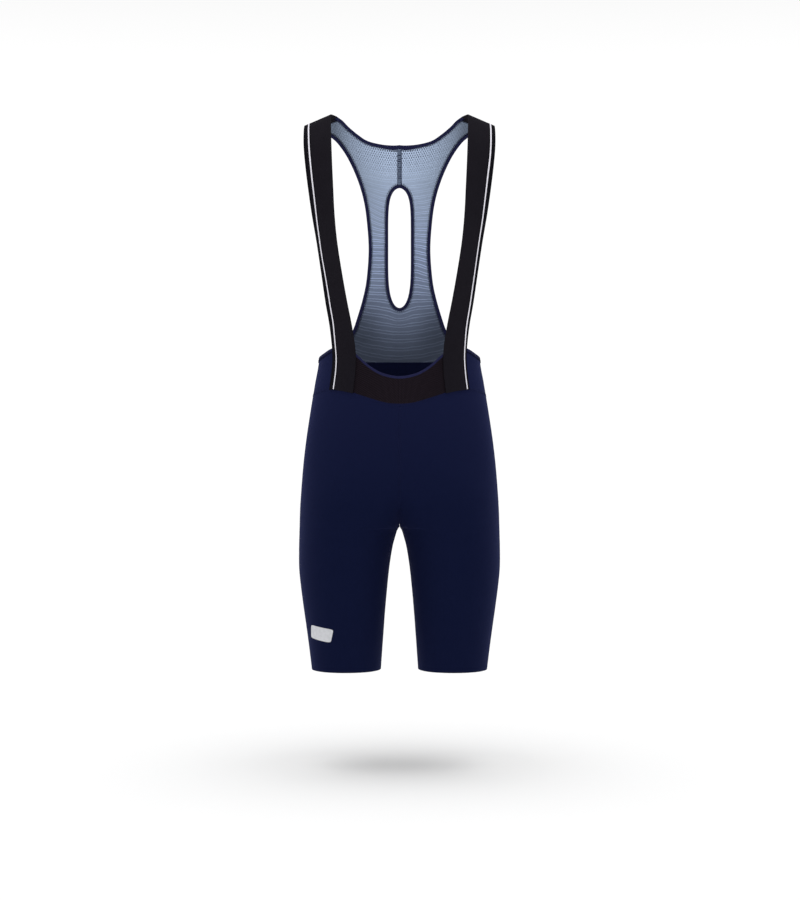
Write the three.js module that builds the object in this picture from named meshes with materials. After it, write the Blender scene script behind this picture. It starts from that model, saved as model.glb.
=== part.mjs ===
// Cycling bib shorts in their worn form, hollow and open, drawn as the cut and sewn pieces.
// Millimetres, +Z up. The front faces -Y and the wearer's left is at +X.
// The origin lies midway between the two shoulders, level with the underside of the straps.
// Every form below gives the outer face of the cloth, and each wall grows inwards from it.
import * as THREE from "three";
import { mergeGeometries, mergeVertices } from "three/addons/utils/BufferGeometryUtils.js";

// Cloth thicknesses
const LEG_CLOTH = 1.2;
const WAIST_CLOTH = 1.2;
const MESH_CLOTH = 1.0;
const STRAP_CLOTH = 1.6;
const BINDING_CLOTH = 2.0;
const TAPE_CLOTH = 1.0;

// Widths of the narrow goods, the gap between two panels at a seam, and the wider gap where a
// curved binding or a strap end meets a panel
const STRAP_WIDTH_WAIST = 44.5;
const STRAP_WIDTH_SHOULDER = 46;
const BINDING_WIDTH = 5;
const TAPE_WIDTH = 6;
const SEAM_GAP = 0.3;
const JOIN_GAP = 0.9;

// How far the binding stands proud of the cloth, and how far the strap lies above the cloth
const BINDING_PROUD = 0.4;
const STRAP_LIFT = 0.7;

// Levels, measured from the shoulders
const CROTCH_Z = -651;
const HEM_Z = -877;

// Height above the crotch over which the front and the seat round under to the crotch seam, and
// over which the outside of the thighs runs into the hips
const FRONT_ROUNDING = 92;
const SEAT_ROUNDING = 78;
const HIP_BLEND = 135;

// Squareness of the back above the waist, and of the section of the thigh
const BACK_POWER = 2.12;
const THIGH_POWER = 2.15;

// Worn sections: half is the outside half width, front and back are the depths from the side line,
// and power is the squareness of the rounded section, where 2 is an ellipse
const SECTIONS = [
  { z: -200, half: 165, front: 113, back: 98, power: 2.12 },
  { z: -262, half: 150, front: 116, back: 94, power: 2.12 },
  { z: -312, half: 138, front: 113, back: 90.5, power: 2.12 },
  { z: -352, half: 130.3, front: 109, back: 90, power: 2.12 },
  { z: -385, half: 128.8, front: 106, back: 91.5, power: 2.12 },
  { z: -420, half: 134.6, front: 104.5, back: 96, power: 2.13 },
  { z: -457, half: 140.8, front: 104, back: 103, power: 2.16 },
  { z: -504, half: 148, front: 105.5, back: 112.5, power: 2.24 },
  { z: -545, half: 153, front: 106.5, back: 118.5, power: 2.34 },
  { z: -585, half: 156.6, front: 106.5, back: 122, power: 2.45 },
  { z: -620, half: 159, front: 105, back: 121, power: 2.55 },
  { z: -651, half: 160, front: 102, back: 116.5, power: 2.6 },
  { z: -690, half: 160.8, front: 97.5, back: 107.5, power: 2.6 },
  { z: -718, half: 160.4, front: 93.5, back: 100.5, power: 2.6 },
  { z: -744, half: 157.8, front: 90, back: 94.5, power: 2.6 },
  { z: -776, half: 153.6, front: 85.5, back: 87.5, power: 2.6 },
  { z: -808, half: 149, front: 80.5, back: 80.5, power: 2.6 },
  { z: -840, half: 144.6, front: 75.5, back: 73.5, power: 2.6 },
  { z: -877, half: 140, front: 70, back: 65, power: 2.6 },
];

// Inside line of each leg, from the crotch down
const INSIDE_LEG = [
  { z: -651, inner: 0.15 },
  { z: -656, inner: 3.4 },
  { z: -664, inner: 6 },
  { z: -680, inner: 10.4 },
  { z: -700, inner: 14 },
  { z: -724, inner: 17.2 },
  { z: -776, inner: 22.2 },
  { z: -826, inner: 26 },
  { z: -877, inner: 29.6 },
];

// Levels of the leg panel's rows below its curved top seam
const LEG_LEVELS = [
  -481, -504, -527, -549, -569, -587, -603, -617, -628.5, -638, -645, -649.4, CROTCH_Z,
  -654.5, -661, -671, -687, -708, -734, -765, -800, -838, HEM_Z,
];
const LEG_COLUMNS = 27;

// Seam between the waist pieces and the leg panels: wrap is the angle in degrees from centre front
const WAIST_SEAM = [
  { wrap: -7, z: -456.3 },
  { wrap: 0, z: -457.9 },
  { wrap: 7, z: -456.3 },
  { wrap: 15, z: -451 },
  { wrap: 22.5, z: -445.6 },
  { wrap: 31, z: -439.8 },
  { wrap: 44, z: -435 },
  { wrap: 54, z: -434 },
  { wrap: 72, z: -437.5 },
  { wrap: 90, z: -441.5 },
  { wrap: 135, z: -448 },
  { wrap: 180, z: -452 },
];

// Bound top edge of the waist, from centre front round to where it turns up the back
const WAIST_EDGE = [
  { wrap: -9.6, z: -409.4 },
  { wrap: 0, z: -413.7 },
  { wrap: 9.6, z: -409.4 },
  { wrap: 16.3, z: -402 },
  { wrap: 22, z: -393.5 },
  { wrap: 28.5, z: -382 },
  { wrap: 35, z: -373.5 },
  { wrap: 43, z: -368.5 },
  { wrap: 52.7, z: -368 },
  { wrap: 70, z: -376.5 },
  { wrap: 90, z: -381.5 },
  { wrap: 104, z: -382 },
];
const EDGE_END_WRAP = WAIST_EDGE.at(-1).wrap;

// The front panel and the yoke meet under the strap, at this wrap
const SIDE_SEAM_WRAP = 41;

// Level of the seam between the yoke and the back mesh
const MESH_SEAM_Z = -385;

// Centre back profile: down is measured over the cloth from the shoulder crest, and half sets
// how fast the back rounds away sideways
const BACK_PROFILE = [
  { down: 0, y: 0, z: 1.6, half: 420 },
  { down: 22, y: 21.5, z: -2.2, half: 340 },
  { down: 45, y: 42, z: -12.5, half: 268 },
  { down: 70, y: 60, z: -30, half: 224 },
  { down: 97, y: 75.5, z: -52.3, half: 198 },
  { down: 135, y: 88, z: -88, half: 181 },
  { down: 185, y: 96, z: -137, half: 172 },
  { down: 245, y: 98, z: -197, half: 165.5 },
  { down: 310, y: 94, z: -262, half: 150 },
  { down: 360, y: 90.5, z: -312, half: 138 },
  { down: 400, y: 90, z: -352, half: 130.3 },
  { down: 433, y: 91.5, z: -385, half: 128.8 },
];

// Slope of the shoulder in degrees, the x where the crest has the profile's height, and how far
// down the back the slope dies out
const SHOULDER_SLOPE = 24;
const SHOULDER_X = 131;
const SLOPE_REACH = 240;

// Edges of the back panel on the half with x above 0, from the shoulder
const STRAP_END_DOWN = 22;
const NECK_EDGE = [
  { x: 100.7, down: 22 },
  { x: 99, down: 25 },
  { x: 95.4, down: 31 },
  { x: 91.4, down: 37.2 },
  { x: 84, down: 49.8 },
  { x: 74.8, down: 61 },
  { x: 65.8, down: 70 },
  { x: 55.5, down: 78.6 },
  { x: 42, down: 85.2 },
  { x: 22, down: 91.2 },
  { x: 0, down: 94.2 },
];
const ARMHOLE_EDGE = [
  { x: 158, down: 15 },
  { x: 152, down: 22 },
  { x: 139, down: 36 },
  { x: 122, down: 52.5 },
  { x: 107.5, down: 67.5 },
  { x: 98, down: 80.5 },
  { x: 83.5, down: 105 },
  { x: 69, down: 136.5 },
  { x: 59.3, down: 167 },
  { x: 54, down: 200 },
  { x: 51, down: 246 },
  { x: 54.4, down: 296 },
  { x: 60.9, down: 329 },
  { x: 70.6, down: 362.5 },
  { x: 77, down: 380.5 },
  { x: 85.5, down: 395.5 },
  { x: 96.5, down: 409.5 },
  { x: 109, down: 421 },
  { x: 118.5, down: 427.5 },
];

// Slot in the back panel, a rounded long hole measured inside its binding
const SLOT_DOWN = 248;
const SLOT_HALF_WIDTH = 18.6;
const SLOT_ABOVE = 96;
const SLOT_BELOW = 94;
const SLOT_TOP_POWER = 6.5;
const SLOT_FOOT_POWER = 4;

// Strap centre line over the waist, where it lies on the cloth
const STRAP_ON_WAIST = [
  { z: -433.2, x: 91.4 },
  { z: -424, x: 90.2 },
  { z: -412, x: 88.6 },
  { z: -398, x: 87.4 },
  { z: -384, x: 87 },
  { z: -368, x: 87.9 },
];

// Strap centre line over the chest and the shoulder: turn faces the strap outwards and drop tips
// its outer edge down, both in degrees
const STRAP_FREE = [
  { z: -335, x: 91.9, y: -90, turn: 39, drop: 0 },
  { z: -297, x: 98.9, y: -94, turn: 41, drop: 0 },
  { z: -250, x: 106.5, y: -96, turn: 44, drop: 0 },
  { z: -204, x: 113.5, y: -93, turn: 44, drop: 0 },
  { z: -160, x: 119.4, y: -85, turn: 37, drop: 0 },
  { z: -120, x: 123.4, y: -75.5, turn: 28, drop: 2 },
  { z: -80, x: 127, y: -61.5, turn: 18, drop: 6 },
  { z: -46, x: 129.5, y: -45, turn: 10, drop: 12 },
  { z: -18, x: 130.7, y: -25, turn: 4, drop: 19 },
  { z: -3.2, x: 131, y: -9.5, turn: 1, drop: 23 },
];

// Strap behind the crest: its neck edge flares inwards to meet the neckline
const STRAP_BEHIND = [
  { down: 6, flare: 0.8 },
  { down: 14, flare: 4.8 },
  { down: STRAP_END_DOWN - JOIN_GAP / 2, flare: 9.3 },
];

// Smooth curve through a table's rows: gives a function of the key column
function curveOf(table, key, column) {
  const rows = [...table].sort((a, b) => a[key] - b[key]);
  const slope = (i) => {
    const low = rows[Math.max(i - 1, 0)];
    const high = rows[Math.min(i + 1, rows.length - 1)];
    return (high[column] - low[column]) / (high[key] - low[key]);
  };
  return (at) => {
    let i = rows.findIndex((row) => row[key] >= at) - 1;
    if (i === -2) i = rows.length - 2;
    i = Math.max(i, 0);
    const span = rows[i + 1][key] - rows[i][key];
    const t = THREE.MathUtils.clamp((at - rows[i][key]) / span, 0, 1);
    const s = 1 - t;
    return (
      s * s * (1 + 2 * t) * rows[i][column] +
      t * t * (3 - 2 * t) * rows[i + 1][column] +
      t * s * s * span * slope(i) -
      t * t * s * span * slope(i + 1)
    );
  };
}

const halfAt = curveOf(SECTIONS, "z", "half");
const frontAt = curveOf(SECTIONS, "z", "front");
const backAt = curveOf(SECTIONS, "z", "back");
const powerAt = curveOf(SECTIONS, "z", "power");
const innerBelow = curveOf(INSIDE_LEG, "z", "inner");
const waistSeamAt = curveOf(WAIST_SEAM, "wrap", "z");
const waistEdgeAt = curveOf(WAIST_EDGE, "wrap", "z");
const profileY = curveOf(BACK_PROFILE, "down", "y");
const profileZ = curveOf(BACK_PROFILE, "down", "z");
const profileHalf = curveOf(BACK_PROFILE, "down", "half");

const signedPower = (value, power) => Math.sign(value) * Math.abs(value) ** power;
const lerp = THREE.MathUtils.lerp;
const radians = THREE.MathUtils.degToRad;
const steps = (count) => Array.from({ length: count + 1 }, (_, i) => i / count);

// Point of the waist and hips at a wrap angle from centre front: past 180 it comes round on -X
function torsoPoint(wrap, z) {
  const angle = radians(wrap);
  const along = signedPower(Math.cos(angle), 2 / powerAt(z));
  const x = halfAt(z) * signedPower(Math.sin(angle), 2 / powerAt(z));
  return new THREE.Vector3(x, along > 0 ? -frontAt(z) * along : -backAt(z) * along, z);
}

// Outward direction of the waist and hips at that point
function torsoNormal(wrap, z) {
  const round = torsoPoint(wrap + 1, z).sub(torsoPoint(wrap - 1, z));
  const up = torsoPoint(wrap, z + 1).sub(torsoPoint(wrap, z - 1));
  return round.cross(up).normalize();
}

// Share of a half torso in the leg panel's section: 1 at the hips and 0 from the crotch down
function openness(around, z) {
  const rounding = lerp(FRONT_ROUNDING, SEAT_ROUNDING, THREE.MathUtils.smoothstep(around, 0, 1));
  const rise = THREE.MathUtils.clamp((z - CROTCH_Z) / rounding, 0, 1);
  const round = Math.sqrt(1 - (1 - rise) ** 2);
  const even = THREE.MathUtils.smoothstep(z, CROTCH_Z, CROTCH_Z + HIP_BLEND);
  const outward = THREE.MathUtils.smoothstep(Math.min(around, 1 - around), 0.1, 0.32);
  return lerp(round, even, outward);
}

// Wrap on the hips that the panel's columns reach where they lie on the front of the thigh
const THIGH_FRONT_WRAP = 23;
const BLEND_FULLNESS = 0.085;
function hipWrap(around) {
  const quarter = Math.min(around, 1 - around) * 4;
  const share = Math.min(quarter, 1) * THIGH_FRONT_WRAP;
  const rest = Math.max(quarter - 1, 0);
  const wrap = share + rest * (90 - THIGH_FRONT_WRAP);
  return around > 0.5 ? 180 - wrap : wrap;
}

// Point of the left leg panel: around runs 0 to 1 from centre front, over the outside, to centre
// back, and below the crotch once round the leg from the inseam
function legPoint(around, z) {
  const inner = z >= CROTCH_Z ? SEAM_GAP / 2 : innerBelow(z);
  const across = (halfAt(z) - inner) / 2;
  const deep = (frontAt(z) + backAt(z)) / 2;
  const turn = 2 * Math.PI * around;
  const loop = new THREE.Vector3(
    inner + across - across * signedPower(Math.cos(turn), 2 / THIGH_POWER),
    backAt(z) - deep - deep * signedPower(Math.sin(turn), 2 / THIGH_POWER),
    z,
  );
  const open = openness(around, z);
  const point = loop.lerp(torsoPoint(hipWrap(around), z), open);
  point.y *= 1 + BLEND_FULLNESS * open * (1 - open);
  point.x = Math.max(point.x, SEAM_GAP / 2);
  return point;
}

// Point of the back and the shoulder at a distance down from the crest
function backPoint(x, down) {
  const side = Math.abs(x) / profileHalf(down);
  const round = (1 - Math.min(side, 1) ** BACK_POWER) ** (1 / BACK_POWER);
  const reach = Math.max(0, 1 - down / SLOPE_REACH) ** 2;
  const slope = (SHOULDER_X - Math.abs(x)) * Math.tan(radians(SHOULDER_SLOPE)) * reach;
  return new THREE.Vector3(x, profileY(down) * round, profileZ(down) + slope);
}

// Outward direction of the back at that point
function backNormal(x, down) {
  const across = backPoint(x + 1, down).sub(backPoint(x - 1, down));
  const below = backPoint(x, down + 1).sub(backPoint(x, Math.max(down - 1, 0)));
  return across.cross(below).normalize();
}

// Open sheet through a grid of points: round joins the last column to the first where it is true
function gridSheet(grid) {
  const columns = grid[0].length;
  const index = [];
  for (let row = 0; row + 1 < grid.length; row++) {
    for (let column = 0; column + 1 < columns; column++) {
      const a = row * columns + column;
      const b = a + columns;
      index.push(a, b, a + 1, a + 1, b, b + 1);
    }
  }
  const sheet = new THREE.BufferGeometry();
  const flat = grid.flat().flatMap((point) => point.toArray());
  sheet.setAttribute("position", new THREE.Float32BufferAttribute(flat, 3));
  sheet.setIndex(index);
  return sheet;
}

// Mirror image in the plane x = 0
function mirrored(geometry) {
  const copy = geometry.clone();
  copy.applyMatrix4(new THREE.Matrix4().makeScale(-1, 1, 1));
  const order = copy.index.array;
  for (let i = 0; i < order.length; i += 3) {
    [order[i + 1], order[i + 2]] = [order[i + 2], order[i + 1]];
  }
  return copy;
}

// Closed wall: the sheet is the outer face, the inner face lies inside it by the thickness, and
// a strip closes every open edge. Edges on the centre plane keep to that plane.
function wall(open, thickness) {
  const sheet = mergeVertices(open, 1e-3);
  sheet.computeVertexNormals();
  const outer = sheet.getAttribute("position");
  const normals = sheet.getAttribute("normal");
  const order = sheet.index.array;
  const count = outer.count;
  const points = [];
  for (let i = 0; i < count; i++) points.push(new THREE.Vector3().fromBufferAttribute(outer, i));
  for (let i = 0; i < count; i++) {
    const normal = new THREE.Vector3().fromBufferAttribute(normals, i);
    if (Math.abs(points[i].x) <= SEAM_GAP / 2 + 1e-3) normal.setX(0).normalize();
    points.push(points[i].clone().addScaledVector(normal, -thickness));
  }
  const index = [];
  const edges = new Map();
  for (let i = 0; i < order.length; i += 3) {
    const [a, b, c] = order.slice(i, i + 3);
    if (a === b || b === c || c === a) continue;
    index.push(a, b, c, a + count, c + count, b + count);
    for (const [from, to] of [[a, b], [b, c], [c, a]]) edges.set(`${from} ${to}`, [from, to]);
  }
  for (const [from, to] of edges.values()) {
    if (edges.has(`${to} ${from}`)) continue;
    index.push(to, from, from + count, to, from + count, to + count);
  }
  const solid = new THREE.BufferGeometry();
  const flat = points.flatMap((point) => point.toArray());
  solid.setAttribute("position", new THREE.Float32BufferAttribute(flat, 3));
  solid.setIndex(index);
  return solid;
}

// Band with a rounded face between two edge lines: each station has both edge points and the
// outward direction, and the band runs from proud of the cloth to the stated thickness
function band(stations, thickness, proud, closed = false) {
  const rings = stations.map(({ upper, lower, normal }) => {
    const middle = upper.clone().add(lower).multiplyScalar(0.5);
    const face = (point, height) => point.clone().addScaledVector(normal, height);
    const soft = thickness * 0.3;
    return [
      face(upper, proud - soft),
      face(middle, proud),
      face(lower, proud - soft),
      face(lower, proud - thickness + soft),
      face(middle, proud - thickness),
      face(upper, proud - thickness + soft),
    ];
  });
  const sides = rings[0].length;
  const index = [];
  const travel = stations[1].upper.clone().sub(stations[0].upper);
  const up = stations[0].upper.clone().sub(stations[0].lower);
  const turned = travel.cross(up).dot(stations[0].normal) > 0;
  const spans = closed ? rings.length : rings.length - 1;
  for (let ring = 0; ring < spans; ring++) {
    for (let side = 0; side < sides; side++) {
      const a = ring * sides + side;
      const b = ring * sides + ((side + 1) % sides);
      const c = ((ring + 1) % rings.length) * sides + side;
      const d = ((ring + 1) % rings.length) * sides + ((side + 1) % sides);
      index.push(a, c, b, b, c, d);
    }
  }
  const last = (rings.length - 1) * sides;
  for (let side = 1; side + 1 < sides && !closed; side++) {
    index.push(0, side, side + 1, last, last + side + 1, last + side);
  }
  if (turned) index.reverse();
  const solid = new THREE.BufferGeometry();
  const flat = rings.flat().flatMap((point) => point.toArray());
  solid.setAttribute("position", new THREE.Float32BufferAttribute(flat, 3));
  solid.setIndex(index);
  return solid;
}

// Smooth flat curve through a table of x and down, with evenly spaced points
function edgeLine(table, count) {
  const curve = new THREE.SplineCurve(table.map((row) => new THREE.Vector2(row.x, row.down)));
  curve.arcLengthDivisions = 800;
  return curve.getSpacedPoints(count);
}

// The same line moved sideways by a distance, to its left where the distance is positive
function inset(line, distance) {
  return line.map((point, i) => {
    const before = line[Math.max(i - 1, 0)];
    const after = line[Math.min(i + 1, line.length - 1)];
    const along = after.clone().sub(before).normalize();
    return new THREE.Vector2(point.x - along.y * distance, point.y + along.x * distance);
  });
}

// Armhole edge of the back moved in by a distance, from the strap end down to the waist
const ARM_END_DOWN = STRAP_END_DOWN + JOIN_GAP / 2;
function armholeLine(distance, count) {
  const whole = inset(edgeLine(ARMHOLE_EDGE, 240), distance);
  const first = whole.findIndex((point) => point.y > ARM_END_DOWN);
  const share = (ARM_END_DOWN - whole[first - 1].y) / (whole[first].y - whole[first - 1].y);
  const start = whole[first - 1].clone().lerp(whole[first], share);
  const curve = new THREE.SplineCurve([start, ...whole.slice(first)]);
  curve.arcLengthDivisions = 800;
  return curve.getSpacedPoints(count);
}

const material = (color, roughness) =>
  new THREE.MeshStandardMaterial({ color, roughness, metalness: 0, side: THREE.DoubleSide });
const navyKnit = material(0x12172f, 0.62);
const blackMesh = material(0x211c22, 0.75);
const elastic = material(0x221f27, 0.7);
const paleMesh = material(0x8b9cb6, 0.8);
const navyBinding = material(0x2b2b46, 0.6);
const seamThread = material(0x3d4c66, 0.8);

const shorts = new THREE.Group();

function add(name, geometry, finish) {
  const mesh = new THREE.Mesh(geometry, finish);
  mesh.name = name;
  shorts.add(mesh);
}

// Leg panels: each wraps from centre front round the outside to centre back and closes at the
// inseam below the crotch
function legPanel() {
  const columns = steps(LEG_COLUMNS);
  const top = columns.map((around) => {
    const z = waistSeamAt(hipWrap(around)) - SEAM_GAP / 2;
    return legPoint(around, z);
  });
  const rows = LEG_LEVELS.map((z) => columns.map((around) => legPoint(around, z)));
  return wall(gridSheet([top, ...rows]), LEG_CLOTH);
}
const leftLeg = legPanel();
add("leg_panel_left", leftLeg, navyKnit);
add("leg_panel_right", mirrored(leftLeg), navyKnit);

// Top edge of the cloth under the waist binding
const clothEdgeAt = (wrap) => waistEdgeAt(wrap) - BINDING_WIDTH - JOIN_GAP;

// Front waist panel, between the straps and under them
const FRONT_COLUMNS = 20;
const WAIST_ROWS = 4;
const gapWrap = (SEAM_GAP / halfAt(MESH_SEAM_Z)) * THREE.MathUtils.RAD2DEG;
const frontGrid = steps(WAIST_ROWS).map((share) =>
  steps(FRONT_COLUMNS).map((step) => {
    const wrap = lerp(-1, 1, step) * (SIDE_SEAM_WRAP - gapWrap);
    const low = waistSeamAt(Math.abs(wrap)) + SEAM_GAP / 2;
    return torsoPoint(wrap, lerp(clothEdgeAt(Math.abs(wrap)), low, share));
  }),
);
add("waist_front_panel", wall(gridSheet(frontGrid), WAIST_CLOTH), blackMesh);

// Yoke, from under one strap round the back to the other: its top edge lies under the binding at
// the sides and against the back mesh behind
const YOKE_COLUMNS = 48;
const yokeGrid = steps(WAIST_ROWS).map((share) =>
  steps(YOKE_COLUMNS).map((step) => {
    const wrap = lerp(SIDE_SEAM_WRAP + gapWrap, 360 - SIDE_SEAM_WRAP - gapWrap, step);
    const turned = Math.min(wrap, 360 - wrap);
    const bound = clothEdgeAt(turned) + 0.2 * Math.max(turned - EDGE_END_WRAP, 0);
    const top = turned < EDGE_END_WRAP ? bound : Math.min(bound, MESH_SEAM_Z - SEAM_GAP / 2);
    return torsoPoint(wrap, lerp(top, waistSeamAt(turned) + SEAM_GAP / 2, share));
  }),
);
add("waist_yoke", wall(gridSheet(yokeGrid), WAIST_CLOTH), navyKnit);

// Back mesh panel: each half is a grid between the centre line, which bends round the slot, and
// the outer edge, which is the shoulder end and then the armhole
const TOP_ROWS = 5;
const SLOT_ROWS = 22;
const FOOT_ROWS = 5;
const MESH_COLUMNS = 11;
const ROW_EASE = 1.25;
const CLOTH_INSET = BINDING_WIDTH + JOIN_GAP;
const meshSeamDown = BACK_PROFILE.at(-1).down - SEAM_GAP / 2;

// Point of the slot's outline, grown by a margin: turn runs 0 at the top to PI at the bottom
function slotPoint(turn, margin) {
  const rise = Math.cos(turn);
  const power = rise > 0 ? SLOT_TOP_POWER : SLOT_FOOT_POWER;
  const length = rise > 0 ? SLOT_ABOVE : SLOT_BELOW;
  const share = Math.sqrt(1 - Math.abs(rise) ** power) * Math.sign(Math.sin(turn));
  return new THREE.Vector2((SLOT_HALF_WIDTH + margin) * share, SLOT_DOWN - (length + margin) * rise);
}

function meshHalf() {
  const neck = inset(edgeLine(NECK_EDGE, 60), -CLOTH_INSET);
  const armhole = armholeLine(CLOTH_INSET + SEAM_GAP, 80);
  const innerCorner = new THREE.Vector2(neck[0].x, ARM_END_DOWN);
  const outerCorner = armhole[0];
  const sweep = new THREE.SplineCurve(armhole.filter((point) => point.y < meshSeamDown - 1));
  sweep.arcLengthDivisions = 800;
  const neckLine = new THREE.SplineCurve(neck.filter((point) => point.x > 0).reverse());
  const slotTop = slotPoint(0, CLOTH_INSET).y;
  const slotFoot = slotPoint(Math.PI, CLOTH_INSET).y;
  const neckDown = neck.at(-1).y;
  const foot = new THREE.Vector2(sweep.getPoint(1).x + 2, meshSeamDown);
  const rows = [];
  const fill = (inner, outer, bend, centre) => {
    const line = steps(MESH_COLUMNS).map((share) => {
      const point = inner.clone().lerp(outer, share);
      if (bend > 0) {
        const straight = new THREE.Vector2(0, neckDown).lerp(innerCorner, share);
        point.add(neckLine.getPoint(share).sub(straight).multiplyScalar(bend));
      }
      return point;
    });
    rows.push(line.map((point) => backPoint(Math.max(point.x, centre), point.y)));
  };
  for (let i = 0; i < TOP_ROWS; i++) {
    const share = i / TOP_ROWS;
    const inner = new THREE.Vector2(SEAM_GAP / 2, lerp(neckDown, slotTop, share));
    fill(inner, innerCorner.clone().lerp(outerCorner, share), 1 - share, SEAM_GAP / 2);
  }
  for (let i = 0; i <= SLOT_ROWS; i++) {
    const share = i / SLOT_ROWS;
    const inner = slotPoint(Math.PI * share, CLOTH_INSET);
    if (i === 0) inner.setX(SEAM_GAP / 2);
    const outer = sweep.getPointAt(0.86 * share ** ROW_EASE);
    fill(inner, outer, 0, i === 0 ? SEAM_GAP / 2 : 0);
  }
  for (let i = 1; i <= FOOT_ROWS; i++) {
    const share = i / FOOT_ROWS;
    const inner = new THREE.Vector2(0, lerp(slotFoot, meshSeamDown, share));
    const outer = i === FOOT_ROWS ? foot : sweep.getPointAt(0.86 + 0.14 * (i / (FOOT_ROWS - 0.5)));
    fill(inner, outer, 0, 0);
  }
  return gridSheet(rows);
}
const meshSheet = meshHalf();
meshSheet.index.array.reverse();
const meshBoth = mergeGeometries([meshSheet, mirrored(meshSheet)]);
add("back_mesh_panel", wall(meshBoth, MESH_CLOTH), paleMesh);

// Bindings: stations along two lines on the back, the band's free edge and its seam edge
function backStations(line, far) {
  return line.map((point, i) => {
    const middle = point.clone().lerp(far[i], 0.5);
    return {
      upper: backPoint(point.x, point.y),
      lower: backPoint(far[i].x, far[i].y),
      normal: backNormal(middle.x, middle.y),
    };
  });
}

// Stations along the bound waist edge, between two wraps
function waistStations(from, to, count) {
  return steps(count).map((step) => {
    const wrap = lerp(from, to, step);
    const z = waistEdgeAt(Math.abs(wrap));
    const middle = z - BINDING_WIDTH / 2;
    return {
      upper: torsoPoint(wrap, z),
      lower: torsoPoint(wrap, z - BINDING_WIDTH),
      normal: torsoNormal(wrap, middle),
    };
  });
}

// Neck binding at the back, from one strap to the other
const neckHalf = edgeLine(NECK_EDGE, 22);
const neckWhole = [
  ...neckHalf,
  ...neckHalf.slice(0, -1).reverse().map((point) => new THREE.Vector2(-point.x, point.y)),
];
add(
  "neck_binding_back",
  band(backStations(neckWhole, inset(neckWhole, -BINDING_WIDTH)), BINDING_CLOTH, BINDING_PROUD),
  navyBinding,
);

// Neck binding at the front, which ends under the straps
const BINDING_JOIN_WRAP = 44;
add(
  "neck_binding_front",
  band(
    waistStations(-BINDING_JOIN_WRAP + gapWrap, BINDING_JOIN_WRAP - gapWrap, 28),
    BINDING_CLOTH,
    BINDING_PROUD,
  ),
  navyBinding,
);

const ARMHOLE_STEPS = 42;

// Armhole binding: from under the strap, round the side, and up the mesh to the shoulder
function armholeBinding() {
  const low = waistStations(BINDING_JOIN_WRAP + gapWrap, EDGE_END_WRAP, 12);
  const free = armholeLine(0, ARMHOLE_STEPS).reverse();
  const sewn = armholeLine(BINDING_WIDTH, ARMHOLE_STEPS).reverse();
  const back = backStations(free, sewn);
  return band([...low, ...back], BINDING_CLOTH, BINDING_PROUD);
}
const leftArmhole = armholeBinding();
add("armhole_binding_left", leftArmhole, navyBinding);
add("armhole_binding_right", mirrored(leftArmhole), navyBinding);

// Slot binding, a closed loop
const SLOT_STEPS = 44;
const slotStations = Array.from({ length: SLOT_STEPS }, (_, i) => {
  const turn = (2 * Math.PI * i) / SLOT_STEPS;
  const inside = slotPoint(turn, 0);
  const outside = slotPoint(turn, BINDING_WIDTH);
  const middle = inside.clone().lerp(outside, 0.5);
  return {
    upper: backPoint(outside.x, outside.y),
    lower: backPoint(inside.x, inside.y),
    normal: backNormal(middle.x, middle.y),
  };
});
add("slot_binding", band(slotStations, BINDING_CLOTH, BINDING_PROUD, true), navyBinding);

// Seam tape on the inside of the mesh, from the neck binding to the slot binding
const TAPE_DROP = -MESH_CLOTH - SEAM_GAP;
const tapeTop = neckHalf.at(-1).y + BINDING_WIDTH + SEAM_GAP;
const tapeFoot = slotPoint(0, BINDING_WIDTH + SEAM_GAP).y;
const tapeStations = steps(6).map((step) => {
  const down = lerp(tapeTop, tapeFoot, step);
  return {
    upper: backPoint(TAPE_WIDTH / 2, down),
    lower: backPoint(-TAPE_WIDTH / 2, down),
    normal: backNormal(0, down),
  };
});
add("back_seam_tape", band(tapeStations, TAPE_CLOTH, TAPE_DROP), seamThread);

// Straps: the cross lines over the waist lie on the cloth, and those above follow the table up the
// chest and over the shoulder to the mesh
const STRAP_COLUMNS = 4;
const STRAP_STEPS = 54;

// Offsets of the columns from the centre line: the elastic is narrower where it is stretched
function strapOffsets(z) {
  const share = THREE.MathUtils.smoothstep(z, -90, -10);
  const width = lerp(STRAP_WIDTH_WAIST, STRAP_WIDTH_SHOULDER, share);
  return steps(STRAP_COLUMNS).map((step) => lerp(-0.5, 0.5, step) * width);
}

function strapLines() {
  const onWaist = STRAP_ON_WAIST.map(({ z, x }) => {
    const middle = Math.asin((x / halfAt(z)) ** (powerAt(z) / 2)) * THREE.MathUtils.RAD2DEG;
    const speed = torsoPoint(middle + 1, z).distanceTo(torsoPoint(middle - 1, z)) / 2;
    return strapOffsets(z).map((offset) => {
      const wrap = middle + offset / speed;
      const lift = STRAP_LIFT + STRAP_CLOTH;
      const seam = waistSeamAt(wrap) + SEAM_GAP;
      const height = z === STRAP_ON_WAIST[0].z ? seam : z;
      return torsoPoint(wrap, height).addScaledVector(torsoNormal(wrap, height), lift);
    });
  });
  const free = STRAP_FREE.map(({ z, x, y, turn, drop }) => {
    const outward = new THREE.Vector3(
      Math.cos(radians(turn)) * Math.cos(radians(drop)),
      Math.sin(radians(turn)) * Math.cos(radians(drop)),
      -Math.sin(radians(drop)),
    );
    return strapOffsets(z).map((offset) => new THREE.Vector3(x, y, z).addScaledVector(outward, offset));
  });
  const behind = STRAP_BEHIND.map(({ down, flare }) =>
    strapOffsets(0).map((offset, column) => {
      const x = SHOULDER_X + offset * Math.cos(radians(SHOULDER_SLOPE));
      return backPoint(x - flare * (1 - column / STRAP_COLUMNS), down);
    }),
  );
  return [...onWaist, ...free, ...behind];
}

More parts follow.
